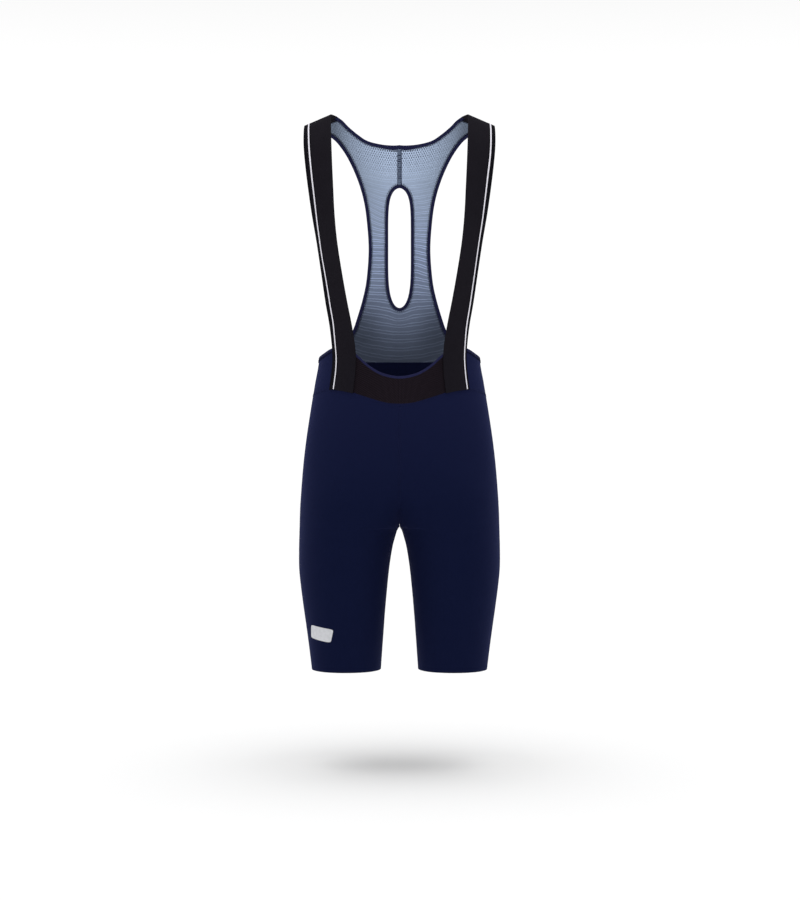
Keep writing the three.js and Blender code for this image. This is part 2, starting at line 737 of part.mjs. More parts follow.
function strap() {
  const lines = strapLines();
  const grid = steps(STRAP_STEPS).map(() => []);
  for (let column = 0; column <= STRAP_COLUMNS; column++) {
    const curve = new THREE.CatmullRomCurve3(lines.map((line) => line[column]), false, "centripetal");
    curve.arcLengthDivisions = 800;
    curve.getSpacedPoints(STRAP_STEPS).forEach((point, i) => grid[i].push(point));
  }
  return wall(gridSheet(grid.reverse()), STRAP_CLOTH);
}
const leftStrap = strap();
add("strap_left", leftStrap, elastic);
add("strap_right", mirrored(leftStrap), elastic);

export default shorts;
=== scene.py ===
import logging
import math
from collections.abc import Callable, Sequence
from dataclasses import dataclass, field
from enum import Enum
from typing import NamedTuple

import bmesh
import bpy
from mathutils import Matrix, Vector
from mathutils.kdtree import KDTree


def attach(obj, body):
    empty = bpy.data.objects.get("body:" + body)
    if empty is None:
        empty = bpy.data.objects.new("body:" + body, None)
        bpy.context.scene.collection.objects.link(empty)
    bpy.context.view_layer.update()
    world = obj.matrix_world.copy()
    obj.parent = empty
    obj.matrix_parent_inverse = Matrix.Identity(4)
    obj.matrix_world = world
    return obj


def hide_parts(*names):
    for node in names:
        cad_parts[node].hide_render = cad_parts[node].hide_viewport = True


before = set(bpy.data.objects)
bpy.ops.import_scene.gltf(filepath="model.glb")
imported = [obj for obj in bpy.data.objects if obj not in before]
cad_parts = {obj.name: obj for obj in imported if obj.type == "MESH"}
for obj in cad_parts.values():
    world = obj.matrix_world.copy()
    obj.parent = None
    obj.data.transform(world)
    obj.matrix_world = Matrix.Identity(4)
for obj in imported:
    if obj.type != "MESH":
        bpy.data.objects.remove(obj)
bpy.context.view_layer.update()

log = logging.getLogger("bib_shorts")
BODY = "root"
MM = 0.001

# Millimetre sizes shared by the pieces. +Z is up, the front faces -Y, the wearer's left is +X.
CROTCH = -651.0
HEM = -877.0
MESH_SEAM = -385.0
STRAP_END = 22.0
BACK_END = 433.0
SIDE_SEAM = 41.0
BINDING_WIDTH = 5.0
SHOULDER_SLOPE = math.radians(24)
SHADE_REACH = 110.0
WHITE = (1.0, 1.0, 1.0)


class Side(Enum):
    """Side of the wearer, as the sign of x."""

    LEFT = 1
    RIGHT = -1


class Face(Enum):
    """Side of a cloth, as the sign of the step along its normal."""

    OUTSIDE = 1
    INSIDE = -1


class Section(NamedTuple):
    """Outside section of the worn form at one level."""

    z: float
    half: float
    front: float
    back: float
    power: float


class BackLine(NamedTuple):
    """Centre back profile at one distance down from the shoulder crest."""

    down: float
    y: float
    z: float
    half: float


class StrapLine(NamedTuple):
    """Cross line of a strap clear of the cloth: turn faces it out, drop tips its outer edge."""

    z: float
    x: float
    y: float
    turn: float
    drop: float


SECTIONS = (
    Section(-200, 165, 113, 98, 2.12),
    Section(-262, 150, 116, 94, 2.12),
    Section(-312, 138, 113, 90.5, 2.12),
    Section(-352, 130.3, 109, 90, 2.12),
    Section(-385, 128.8, 106, 91.5, 2.12),
    Section(-420, 134.6, 104.5, 96, 2.13),
    Section(-457, 140.8, 104, 103, 2.16),
    Section(-504, 148, 105.5, 112.5, 2.24),
    Section(-545, 153, 106.5, 118.5, 2.34),
    Section(-585, 156.6, 106.5, 122, 2.45),
    Section(-620, 159, 105, 121, 2.55),
    Section(-651, 160, 102, 116.5, 2.6),
    Section(-690, 160.8, 97.5, 107.5, 2.6),
    Section(-718, 160.4, 93.5, 100.5, 2.6),
    Section(-744, 157.8, 90, 94.5, 2.6),
    Section(-776, 153.6, 85.5, 87.5, 2.6),
    Section(-808, 149, 80.5, 80.5, 2.6),
    Section(-840, 144.6, 75.5, 73.5, 2.6),
    Section(-877, 140, 70, 65, 2.6),
)
INSIDE_LEG = (
    (-651, 0.15), (-656, 3.4), (-664, 6), (-680, 10.4), (-700, 14), (-724, 17.2),
    (-776, 22.2), (-826, 26), (-877, 29.6),
)
WAIST_SEAM = (
    (-7, -456.3), (0, -457.9), (7, -456.3), (15, -451), (22.5, -445.6), (31, -439.8),
    (44, -435), (54, -434), (72, -437.5), (90, -441.5), (135, -448), (180, -452),
)
WAIST_EDGE = (
    (-9.6, -409.4), (0, -413.7), (9.6, -409.4), (16.3, -402), (22, -393.5), (28.5, -382),
    (35, -373.5), (43, -368.5), (52.7, -368), (70, -376.5), (90, -381.5), (104, -382),
)
EDGE_END = WAIST_EDGE[-1][0]
BACK_LINES = (
    BackLine(0, 0, 1.6, 420),
    BackLine(22, 21.5, -2.2, 340),
    BackLine(45, 42, -12.5, 268),
    BackLine(70, 60, -30, 224),
    BackLine(97, 75.5, -52.3, 198),
    BackLine(135, 88, -88, 181),
    BackLine(185, 96, -137, 172),
    BackLine(245, 98, -197, 165.5),
    BackLine(310, 94, -262, 150),
    BackLine(360, 90.5, -312, 138),
    BackLine(400, 90, -352, 130.3),
    BackLine(433, 91.5, -385, 128.8),
)
NECK_EDGE = (
    (100.7, 22), (99, 25), (95.4, 31), (91.4, 37.2), (84, 49.8), (74.8, 61), (65.8, 70),
    (55.5, 78.6), (42, 85.2), (22, 91.2), (0, 94.2),
)
ARMHOLE_EDGE = (
    (158, 15), (152, 22), (139, 36), (122, 52.5), (107.5, 67.5), (98, 80.5), (83.5, 105),
    (69, 136.5), (59.3, 167), (54, 200), (51, 246), (54.4, 296), (60.9, 329), (70.6, 362.5),
    (77, 380.5), (85.5, 395.5), (96.5, 409.5), (109, 421), (118.5, 427.5),
)
STRAP_ON_WAIST = (
    (-433.2, 91.4), (-424, 90.2), (-412, 88.6), (-398, 87.4), (-384, 87), (-368, 87.9),
)
STRAP_FREE = (
    StrapLine(-335, 91.9, -90, 39, 0),
    StrapLine(-297, 98.9, -94, 41, 0),
    StrapLine(-250, 106.5, -96, 44, 0),
    StrapLine(-204, 113.5, -93, 44, 0),
    StrapLine(-160, 119.4, -85, 37, 0),
    StrapLine(-120, 123.4, -75.5, 28, 2),
    StrapLine(-80, 127, -61.5, 18, 6),
    StrapLine(-46, 129.5, -45, 10, 12),
    StrapLine(-18, 130.7, -25, 4, 19),
    StrapLine(-3.2, 131, -9.5, 1, 23),
)
STRAP_BEHIND = ((6.0, 0.8), (14.0, 4.8), (STRAP_END - 0.2, 9.3))
RIB_PAIRS = (
    (-400, 36.75), (-330, 31.57), (-297, 29.06), (-272, 27.05), (-223, 22.83), (-198, 20.49),
    (-173, 17.9), (-140, 14.08), (-115, 11.12), (-92, 8.65), (-60, 5.56), (0, 0), (20, -1.9),
)
LINE_IN = (
    (-422, 8.9, 5.0), (-397, 8.9, 4.6), (-348, 7.8, 5.5), (-323, 8.5, 6.0), (-285, 8.9, 6.9),
    (-249, 8.0, 7.1), (-224, 7.2, 7.5), (-199, 7.4, 7.8), (-173, 8.3, 7.9), (-148, 9.1, 8.3),
    (-95, 9.0, 8.1), (-68, 8.8, 7.4), (-40, 8.5, 7.4), (-3, 7.7, 7.4),
)


def lerp(low: float, high: float, share: float) -> float:
    """Value a share of the way from low to high."""
    return low + (high - low) * share


def smooth(value: float, low: float, high: float) -> float:
    """Smooth step from 0 at low to 1 at high."""
    share = min(max((value - low) / (high - low), 0.0), 1.0)
    return share * share * (3 - 2 * share)


def hill(value: float, middle: float, reach: float, power: int = 2) -> float:
    """Bell curve, 1 at its middle."""
    return math.exp(-((value - middle) / reach) ** power)


def shaded(colour: Sequence[float], share: float) -> tuple[float, ...]:
    """A colour times a share."""
    return tuple(share * c for c in colour)


def greys(
    rows: Sequence[tuple[float, float]], low: float = 0.0, high: float = 1.0
) -> list[tuple[float, tuple[float, float, float]]]:
    """Grey stops of a ramp.

    Args:
        rows: Places and values.
        low: The place of the ramp's start.
        high: The place of its end.

    Returns:
        The stops, from 0 to 1.
    """
    return [((at - low) / (high - low), (v, v, v)) for at, v in rows]


def signed_power(value: float, power: float) -> float:
    """Power of the size of a value, with the value's sign."""
    return math.copysign(abs(value) ** power, value)


class Curve:
    """Smooth curve through the rows of a table."""

    def __init__(self, rows: Sequence[tuple[float, float]]) -> None:
        """Sort the rows and work out the slope at each.

        Args:
            rows: Pairs of key and value.
        """
        self.rows = sorted(rows)
        last = len(self.rows) - 1
        self.slopes = []
        for i in range(last + 1):
            low, high = self.rows[max(i - 1, 0)], self.rows[min(i + 1, last)]
            self.slopes.append((high[1] - low[1]) / (high[0] - low[0]))

    def __call__(self, at: float) -> float:
        """Value of the curve.

        Args:
            at: Key, held to the table's ends.

        Returns:
            The value there.
        """
        i = 0
        while i < len(self.rows) - 2 and self.rows[i + 1][0] < at:
            i += 1
        (low, first), (high, second) = self.rows[i], self.rows[i + 1]
        span = high - low
        t = min(max((at - low) / span, 0.0), 1.0)
        s = 1 - t
        return (
            s * s * (1 + 2 * t) * first
            + t * t * (3 - 2 * t) * second
            + t * s * s * span * self.slopes[i]
            - t * t * s * span * self.slopes[i + 1]
        )


class Path:
    """Smooth line through points, read by its share of the length."""

    def __init__(self, points: Sequence[Vector], steps: int = 14) -> None:
        """Round the corners between the points and measure the line.

        Args:
            points: Points in the plane or in space.
            steps: Samples between two neighbouring points.
        """
        ends = [points[0] * 2 - points[1], *points, points[-1] * 2 - points[-2]]
        line: list[Vector] = []
        for a, b, c, d in zip(ends, ends[1:], ends[2:], ends[3:]):
            for step in range(steps):
                t = step / steps
                line.append(
                    0.5 * (
                        2 * b + (c - a) * t + (2 * a - 5 * b + 4 * c - d) * t * t
                        + (3 * b - a - 3 * c + d) * t * t * t
                    )
                )
        line.append(points[-1].copy())
        self.line = line
        self.marks = [0.0]
        for a, b in zip(line, line[1:]):
            self.marks.append(self.marks[-1] + (b - a).length)
        self.length = self.marks[-1]

    def at(self, share: float) -> Vector:
        """Point at a share of the length, from 0 to 1."""
        aim = min(max(share, 0.0), 1.0) * self.length
        low, high = 0, len(self.marks) - 1
        while high - low > 1:
            middle = (low + high) // 2
            if self.marks[middle] <= aim:
                low = middle
            else:
                high = middle
        span = self.marks[high] - self.marks[low] or 1.0
        return self.line[low].lerp(self.line[high], (aim - self.marks[low]) / span)

    def moved(self, distance: float, count: int = 160) -> list[Vector]:
        """Points of the flat line moved sideways.

        Args:
            distance: Step to the line's left.
            count: Number of spans.

        Returns:
            The moved points, evenly spaced along the first line.
        """
        found = []
        for i in range(count + 1):
            share = i / count
            along = (self.at(share + 0.002) - self.at(share - 0.002)).normalized()
            found.append(self.at(share) + Vector((-along.y, along.x)) * distance)
        return found


@dataclass(frozen=True)
class WornForm:
    """The worn garment's outer surface, in millimetres."""

    back_power: float = 2.12
    thigh_power: float = 2.15
    front_rounding: float = 92.0
    seat_rounding: float = 78.0
    hip_blend: float = 135.0
    fullness: float = 0.085
    slope: float = math.tan(SHOULDER_SLOPE)
    slope_x: float = 131.0
    slope_reach: float = 240.0
    half: Curve = field(default_factory=lambda: Curve([(s.z, s.half) for s in SECTIONS]))
    front: Curve = field(default_factory=lambda: Curve([(s.z, s.front) for s in SECTIONS]))
    back: Curve = field(default_factory=lambda: Curve([(s.z, s.back) for s in SECTIONS]))
    power: Curve = field(default_factory=lambda: Curve([(s.z, s.power) for s in SECTIONS]))
    inner: Curve = field(default_factory=lambda: Curve(INSIDE_LEG))
    seam: Curve = field(default_factory=lambda: Curve(WAIST_SEAM))
    edge: Curve = field(default_factory=lambda: Curve(WAIST_EDGE))
    line_y: Curve = field(default_factory=lambda: Curve([(b.down, b.y) for b in BACK_LINES]))
    line_z: Curve = field(default_factory=lambda: Curve([(b.down, b.z) for b in BACK_LINES]))
    line_half: Curve = field(
        default_factory=lambda: Curve([(b.down, b.half) for b in BACK_LINES])
    )

    def torso(self, wrap: float, z: float) -> Vector:
        """Point of the waist and hips.

        Args:
            wrap: Angle in degrees from centre front, through the wearer's left side.
            z: Level.

        Returns:
            The point on the outer face.
        """
        angle, power = math.radians(wrap), 2 / self.power(z)
        along = signed_power(math.cos(angle), power)
        depth = self.front(z) if along > 0 else self.back(z)
        return Vector((self.half(z) * signed_power(math.sin(angle), power), -depth * along, z))

    def torso_out(self, wrap: float, z: float) -> Vector:
        """Outward direction of the waist and hips there."""
        round_ = self.torso(wrap + 1, z) - self.torso(wrap - 1, z)
        up = self.torso(wrap, z + 1) - self.torso(wrap, z - 1)
        return round_.cross(up).normalized()

    def openness(self, around: float, z: float) -> float:
        """Share of a half torso in the leg panel: 1 at the hips, 0 from the crotch down."""
        rounding = lerp(self.front_rounding, self.seat_rounding, smooth(around, 0, 1))
        rise = min(max((z - CROTCH) / rounding, 0.0), 1.0)
        round_ = math.sqrt(1 - (1 - rise) ** 2)
        even = smooth(z, CROTCH, CROTCH + self.hip_blend)
        return lerp(round_, even, smooth(min(around, 1 - around), 0.1, 0.32))

    def hip_wrap(self, around: float) -> float:
        """Wrap on the hips that a column of the leg panel reaches."""
        quarter = min(around, 1 - around) * 4
        wrap = 10 * quarter + 8.5 * quarter ** 2 + 4.5 * quarter ** 3
        return 180 - wrap if around > 0.5 else wrap

    def leg(self, around: float, z: float) -> Vector:
        """Point of the left leg panel.

        Args:
            around: 0 to 1 from centre front over the outside to centre back, and below the
                crotch once round the leg from the inseam.
            z: Level.

        Returns:
            The point on the outer face.
        """
        inner = 0.15 if z >= CROTCH else self.inner(z)
        across = (self.half(z) - inner) / 2
        deep = (self.front(z) + self.back(z)) / 2
        turn, power = math.tau * around, 2 / self.thigh_power
        loop = Vector((
            inner + across - across * signed_power(math.cos(turn), power),
            self.back(z) - deep - deep * signed_power(math.sin(turn), power),
            z,
        ))
        share = self.openness(around, z)
        point = loop.lerp(self.torso(self.hip_wrap(around), z), share)
        point.y *= 1 + self.fullness * share * (1 - share)
        point.x = max(point.x, 0.15)
        return point

    def leg_out(self, around: float, z: float) -> Vector:
        """Outward direction of the left leg panel there."""
        round_ = self.leg((around + 0.004) % 1, z) - self.leg((around - 0.004) % 1, z)
        up = self.leg(around, z + 1) - self.leg(around, z - 1)
        return round_.cross(up).normalized()

    def spine(self, x: float, down: float) -> Vector:
        """Point of the back and shoulder.

        Args:
            x: Sideways place.
            down: Distance over the cloth from the shoulder crest at centre back.

        Returns:
            The point on the outer face.
        """
        side = min(abs(x) / self.line_half(down), 1.0)
        round_ = (1 - side ** self.back_power) ** (1 / self.back_power)
        reach = max(0.0, 1 - down / self.slope_reach) ** 2
        rise = (self.slope_x - abs(x)) * self.slope * reach
        return Vector((x, self.line_y(down) * round_, self.line_z(down) + rise))

    def spine_out(self, x: float, down: float) -> Vector:
        """Outward direction of the back there."""
        across = self.spine(x + 1, down) - self.spine(x - 1, down)
        below = self.spine(x, down + 1) - self.spine(x, max(down - 1, 0.0))
        return across.cross(below).normalized()


FORM = WornForm()


class Station(NamedTuple):
    """Cross line of a narrow strip: its free edge, its seam edge and the outward direction."""

    free: Vector
    sewn: Vector
    out: Vector


@dataclass
class Mesh:
    """A mesh under way, in metres, made of grids that are bent into place."""

    name: str
    bm: bmesh.types.BMesh = field(default_factory=bmesh.new)

    def grid(
        self,
        columns: int,
        rows: int,
        place: Callable[[float, float], Vector],
        chart: Callable[[float, float], tuple[float, float]],
    ) -> list[bmesh.types.BMFace]:
        """Make a flat grid and bend it.

        Args:
            columns: Faces across.
            rows: Faces down.
            place: Gives a point in millimetres from the shares across and down.
            chart: Gives the cloth's own coordinates in metres from the same shares.

        Returns:
            The new faces.
        """
        made = bmesh.ops.create_grid(self.bm, x_segments=columns, y_segments=rows, size=0.5)
        spots = {v: (v.co.x + 0.5, v.co.y + 0.5) for v in made["verts"]}
        faces = list({f for v in made["verts"] for f in v.link_faces})
        layer = self.bm.loops.layers.uv.verify()
        for face in faces:
            face.smooth = True
            for loop in face.loops:
                loop[layer].uv = chart(*spots[loop.vert])
        for vert, spot in spots.items():
            vert.co = place(*spot) * MM
        return faces

    def tube(
        self,
        sides: int,
        stations: int,
        ring: Callable[[float, float], Vector],
        chart: Callable[[float, float], tuple[float, float]],
    ) -> None:
        """Make a closed tube from a grid rolled up.

        Args:
            sides: Faces round the tube.
            stations: Faces along it.
            ring: Gives a point in millimetres from the shares round and along.
            chart: Gives the cloth's own coordinates in metres.
        """
        self.grid(sides, stations, ring, chart)
        bmesh.ops.remove_doubles(self.bm, verts=self.bm.verts, dist=2e-6)
        rims = [e for e in self.bm.edges if e.is_boundary]
        bmesh.ops.holes_fill(self.bm, edges=rims, sides=0)

    def finish(
        self,
        materials: Sequence[bpy.types.Material],
        slot: str,
        inside: Callable[[Vector], Vector] | None = None,
        wall: float = 0.0,
        merge: float = 1e-5,
    ) -> bpy.types.Object:
        """Turn the faces out, give the wall its thickness and make the object.

        Args:
            materials: The finishes, outside first.
            slot: The record's material slot; not used.
            inside: Gives a point behind the cloth for a point on it, for an open sheet.
            wall: Thickness in millimetres, grown inwards, or 0 for a closed piece.
            merge: Distance in metres under which vertices are one.

        Returns:
            The object, riding on the garment's body.
        """
        bmesh.ops.remove_doubles(self.bm, verts=self.bm.verts, dist=merge)
        bmesh.ops.dissolve_degenerate(self.bm, edges=self.bm.edges, dist=1e-6)
        self.bm.normal_update()
        if inside is None:
            turned = self.bm.calc_volume(signed=True) < 0
        else:
            centres = [(f, f.calc_center_median()) for f in self.bm.faces]
            turned = sum((c - inside(c)).dot(f.normal) * f.calc_area() for f, c in centres) < 0
        if turned:
            bmesh.ops.reverse_faces(self.bm, faces=self.bm.faces)
        for edge in self.bm.edges:
            edge.smooth = not edge.is_boundary
        data = bpy.data.meshes.new(self.name)
        self.bm.to_mesh(data)
        self.bm.free()
        made = bpy.data.objects.new(self.name, data)
        bpy.context.scene.collection.objects.link(made)
        for material in materials:
            data.materials.append(material)
        if wall:
            thick = made.modifiers.new("cloth", "SOLIDIFY")
            thick.thickness = wall * MM
            thick.offset = -1
            thick.material_offset = len(materials) - 1
        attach(made, BODY)
        log.info("%s: %d faces", self.name, len(data.polygons))
        return made


class Dye:
    """A material under way: its nodes and the links between them."""

    def __init__(self, name: str, roughness: float, sheen: float, tint: Sequence[float]) -> None:
        """Start a cloth shader.

        Args:
            name: The material's name.
            roughness: Surface roughness.
            sheen: Weight of the sheen.
            tint: Linear colour of the sheen.
        """
        self.material = bpy.data.materials.new(name)
        self.material.use_nodes = True
        self.tree = self.material.node_tree
        self.tree.nodes.clear()
        self.output = self.tree.nodes.new("ShaderNodeOutputMaterial")
        self.shader = self.tree.nodes.new("ShaderNodeBsdfPrincipled")
        self.tree.links.new(self.shader.outputs[0], self.output.inputs[0])
        self.shader.inputs["Roughness"].default_value = roughness
        self.shader.inputs["Specular IOR Level"].default_value = 0.03
        self.shader.inputs["Sheen Weight"].default_value = sheen
        self.shader.inputs["Sheen Roughness"].default_value = 0.45
        self.shader.inputs["Sheen Tint"].default_value = (*tint, 1)

    def node(self, kind: str, **inputs: object) -> bpy.types.Node:
        """Add a node.

        Args:
            kind: The node's type without its prefix.
            inputs: Values or sockets for its inputs, with a double underscore for a space,
                or plain properties where no input has the name.

        Returns:
            The node.
        """
        made = self.tree.nodes.new("ShaderNode" + kind)
        for name, value in inputs.items():
            label = name.replace("__", " ")
            if label.startswith("in ") and label[3:].isdigit():
                target = made.inputs[int(label[3:])]
            elif label in made.inputs:
                target = made.inputs[label]
            else:
                setattr(made, name, value)
                continue
            if isinstance(value, bpy.types.NodeSocket):
                self.tree.links.new(value, target)
            else:
                target.default_value = value
        return made

    def chart(self) -> bpy.types.NodeSocket:
        """The cloth's own coordinates in metres."""
        return self.node("UVMap").outputs[0]

    def place(self) -> bpy.types.NodeSocket:
        """The object's coordinates."""
        return self.node("TexCoord").outputs["Object"]

    def axis(self, source: bpy.types.NodeSocket, index: int) -> bpy.types.NodeSocket:
        """One coordinate of a vector: 0 for x, 1 for y and 2 for z."""
        return self.node("SeparateXYZ", Vector=source).outputs[index]

    def span(
        self, value: bpy.types.NodeSocket, low: float, high: float, start: float = 0.0
    ) -> bpy.types.NodeSocket:
        """Share of the way between two values.

        Args:
            value: The value.
            low: The value where the share starts.
            high: The value where it is 1.
            start: The share at its start.

        Returns:
            The share, held to its ends.
        """
        return self.node(
            "MapRange", Value=value, in__1=low, in__2=high, in__3=start
        ).outputs[0]

    def math(self, operation: str, first: object, second: object = 0.0) -> bpy.types.NodeSocket:
        """Result of a Math node.

        Args:
            operation: The node's operation.
            first: Value or socket.
            second: Value or socket.

        Returns:
            The result.
        """
        made = self.node("Math", operation=operation, in__0=first, in__1=second)
        return made.outputs[0]

    def ramp(
        self, source: bpy.types.NodeSocket, stops: Sequence[tuple[float, Sequence[float]]]
    ) -> bpy.types.NodeSocket:
        """Colours by a value.

        Args:
            source: The value from 0 to 1.
            stops: Places and linear colours.

        Returns:
            The colour.
        """
        made = self.node("ValToRGB", Fac=source)
        points = made.color_ramp.elements
        while len(points) < len(stops):
            points.new(0.5)
        for point, (at, colour) in zip(points, stops):
            point.position = at
            point.color = (*colour, 1)
        return made.outputs[0]

    def mix(
        self, share: object, first: object, second: object, blend: str = "MIX"
    ) -> bpy.types.NodeSocket:
        """Mix of two colours.

        Args:
            share: Value or socket.
            first: Colour or socket.
            second: Colour or socket.
            blend: The node's blend type.

        Returns:
            The colour.
        """
        made = self.tree.nodes.new("ShaderNodeMix")
        made.data_type = "RGBA"
        made.blend_type = blend
        for index, value in ((0, share), (6, first), (7, second)):
            if isinstance(value, bpy.types.NodeSocket):
                self.tree.links.new(value, made.inputs[index])
            else:
                made.inputs[index].default_value = (*value, 1) if index else value
        return made.outputs[2]

    def wave(
        self, pitch: float, axis: str, source: bpy.types.NodeSocket, bend: float = 0.0
    ) -> bpy.types.NodeSocket:
        """Soft ridges across a chart in metres.

        Args:
            pitch: Ridge spacing in millimetres.
            axis: X or Y, the direction across the ridges.
            source: Coordinates in metres.
            bend: Amount of waviness.

        Returns:
            Height from 0 to 1.
        """
        made = self.node(
            "TexWave", Vector=source, Scale=math.tau / (20 * pitch * MM), Distortion=bend,
            Detail=1.0, wave_type="BANDS", bands_direction=axis, wave_profile="SIN",
        )
        made.inputs["Detail Scale"].default_value = 0.3
        return made.outputs[1]

    def noise(
        self, size: float, source: bpy.types.NodeSocket, detail: float = 2.0
    ) -> bpy.types.NodeSocket:
        """Soft blotches of a size in millimetres, as a value from 0 to 1."""
        scale = 1 / (size * MM)
        return self.node("TexNoise", Vector=source, Scale=scale, Detail=detail).outputs[0]

    def bump(
        self, height: bpy.types.NodeSocket, depth: float, before: object = None
    ) -> bpy.types.NodeSocket:
        """Relief in the surface.

        Args:
            height: Height from 0 to 1.
            depth: Depth in millimetres.
            before: An earlier relief under this one.

        Returns:
            The normal.
        """
        made = self.node("Bump", Height=height, Distance=depth * MM, Strength=1.0)
        if before is not None:
            self.tree.links.new(before, made.inputs["Normal"])
        return made.outputs[0]

    def done(
        self, colour: bpy.types.NodeSocket, normal: bpy.types.NodeSocket
    ) -> bpy.types.Material:
        """Wire the colour and the relief, and give the material."""
        self.tree.links.new(colour, self.shader.inputs["Base Color"])
        self.tree.links.new(normal, self.shader.inputs["Normal"])
        return self.material


@dataclass(frozen=True)
class LegKnit:
    """Dense navy knit: fine wales, a little mottle, a cool sheen and painted light at the waist.
    """

    name: str = "navy_knit"
    dark: tuple[float, float, float] = (0.0036, 0.0060, 0.0265)
    light: tuple[float, float, float] = (0.0045, 0.0071, 0.0298)
    # Painted light: the lighter colour the knit takes at the waist, where more light falls on it.
    waist: tuple[float, float, float] = (0.007, 0.0096, 0.0385)
    sheen: float = 0.075

    def make(self) -> bpy.types.Material:
        """Build the material."""
        dye = Dye(self.name, 0.85, self.sheen, (0.25, 0.3, 1.0))
        chart = dye.chart()
        wales = dye.wave(0.9, "X", chart, 0.4)
        courses = dye.wave(0.7, "Y", chart, 0.4)
        mottle = dye.noise(26, chart, 3)
        # Painted light: the colour lightens from the thigh up to the waist, for the light falling
        # on the waist.
        high = dye.span(dye.axis(dye.place(), 2), -0.62, -0.42)
        colour = dye.mix(high, dye.mix(mottle, self.dark, self.light), self.waist)
        relief = dye.bump(dye.math("MULTIPLY", wales, courses), 0.05)
        return dye.done(colour, dye.bump(dye.noise(1.2, chart), 0.05, relief))


@dataclass(frozen=True)
class FrontMesh:
    """Black stretch mesh of the front waist: fine slanted cells, with painted shade towards the
    sides.
    """

    name: str = "black_mesh"
    dark: tuple[float, float, float] = (0.0045, 0.0028, 0.0045)
    light: tuple[float, float, float] = (0.0235, 0.0172, 0.0242)

    def make(self) -> bpy.types.Material:
        """Build the material."""
        dye = Dye(self.name, 0.85, 0.02, (0.9, 0.8, 0.85))
        chart = dye.chart()
        turned = dye.node("Mapping", Vector=chart, Rotation=(0, 0, math.radians(38)))
        rows = dye.wave(1.9, "X", chart, 0.6)
        slants = dye.wave(2.2, "Y", turned.outputs[0], 0.6)
        cells = dye.math("MULTIPLY", rows, slants)
        # Painted shade: the mesh threads darken towards the sides, where the panel turns away from
        # the light.
        side = dye.span(dye.math("ABSOLUTE", dye.axis(dye.place(), 0)), 0.02, 0.075)
        painted_side_shade = dye.mix(side, self.light, shaded(self.light, 0.78))
        stops = ((0.05, (0.0, 0.0, 0.0)), (0.55, (1.0, 1.0, 1.0)))
        colour = dye.mix(dye.ramp(cells, stops), self.dark, painted_side_shade)
        return dye.done(colour, dye.bump(cells, 0.22))


class Light(Enum):
    """Painted light and shade of the back mesh on one face: levels in metres and the share of its
    colour kept there.
    """

    OUTSIDE = ((-0.385, 0.56), (-0.2, 0.6), (-0.05, 0.68))
    INSIDE = (
        (-0.385, 0.19), (-0.34, 0.275), (-0.31, 0.37), (-0.29, 0.4), (-0.27, 0.435), (-0.2, 0.6),
        (-0.08, 1.0), (-0.02, 1.0),
    )


# Painted shade on the inside of the back mesh near the shoulders and the waist: sideways places in
# millimetres and the share of colour kept.
SHOULDER_LIGHT = (
    (0, 1.0), (24, 0.94), (45, 0.83), (57, 0.75), (72, 0.61), (88, 0.47), (105, 0.28),
)
WAIST_LIGHT = ((0, 1.0), (14, 1.0), (22, 0.95), (32, 0.84), (45, 0.68), (60, 0.56), (105, 0.5))
RIB_STRENGTH = (
    (-0.385, 0.32), (-0.35, 0.38), (-0.31, 0.52), (-0.29, 0.72), (-0.25, 0.92), (-0.2, 0.9),
    (-0.17, 0.6), (-0.13, 0.34), (-0.1, 0.2), (-0.05, 0.1),
)
RIB_PROFILE = (
    (0.0, 0), (0.1, 0), (0.19, 1), (0.28, 0), (0.45, 0), (0.54, 0.85), (0.63, 0), (1, 0),
)


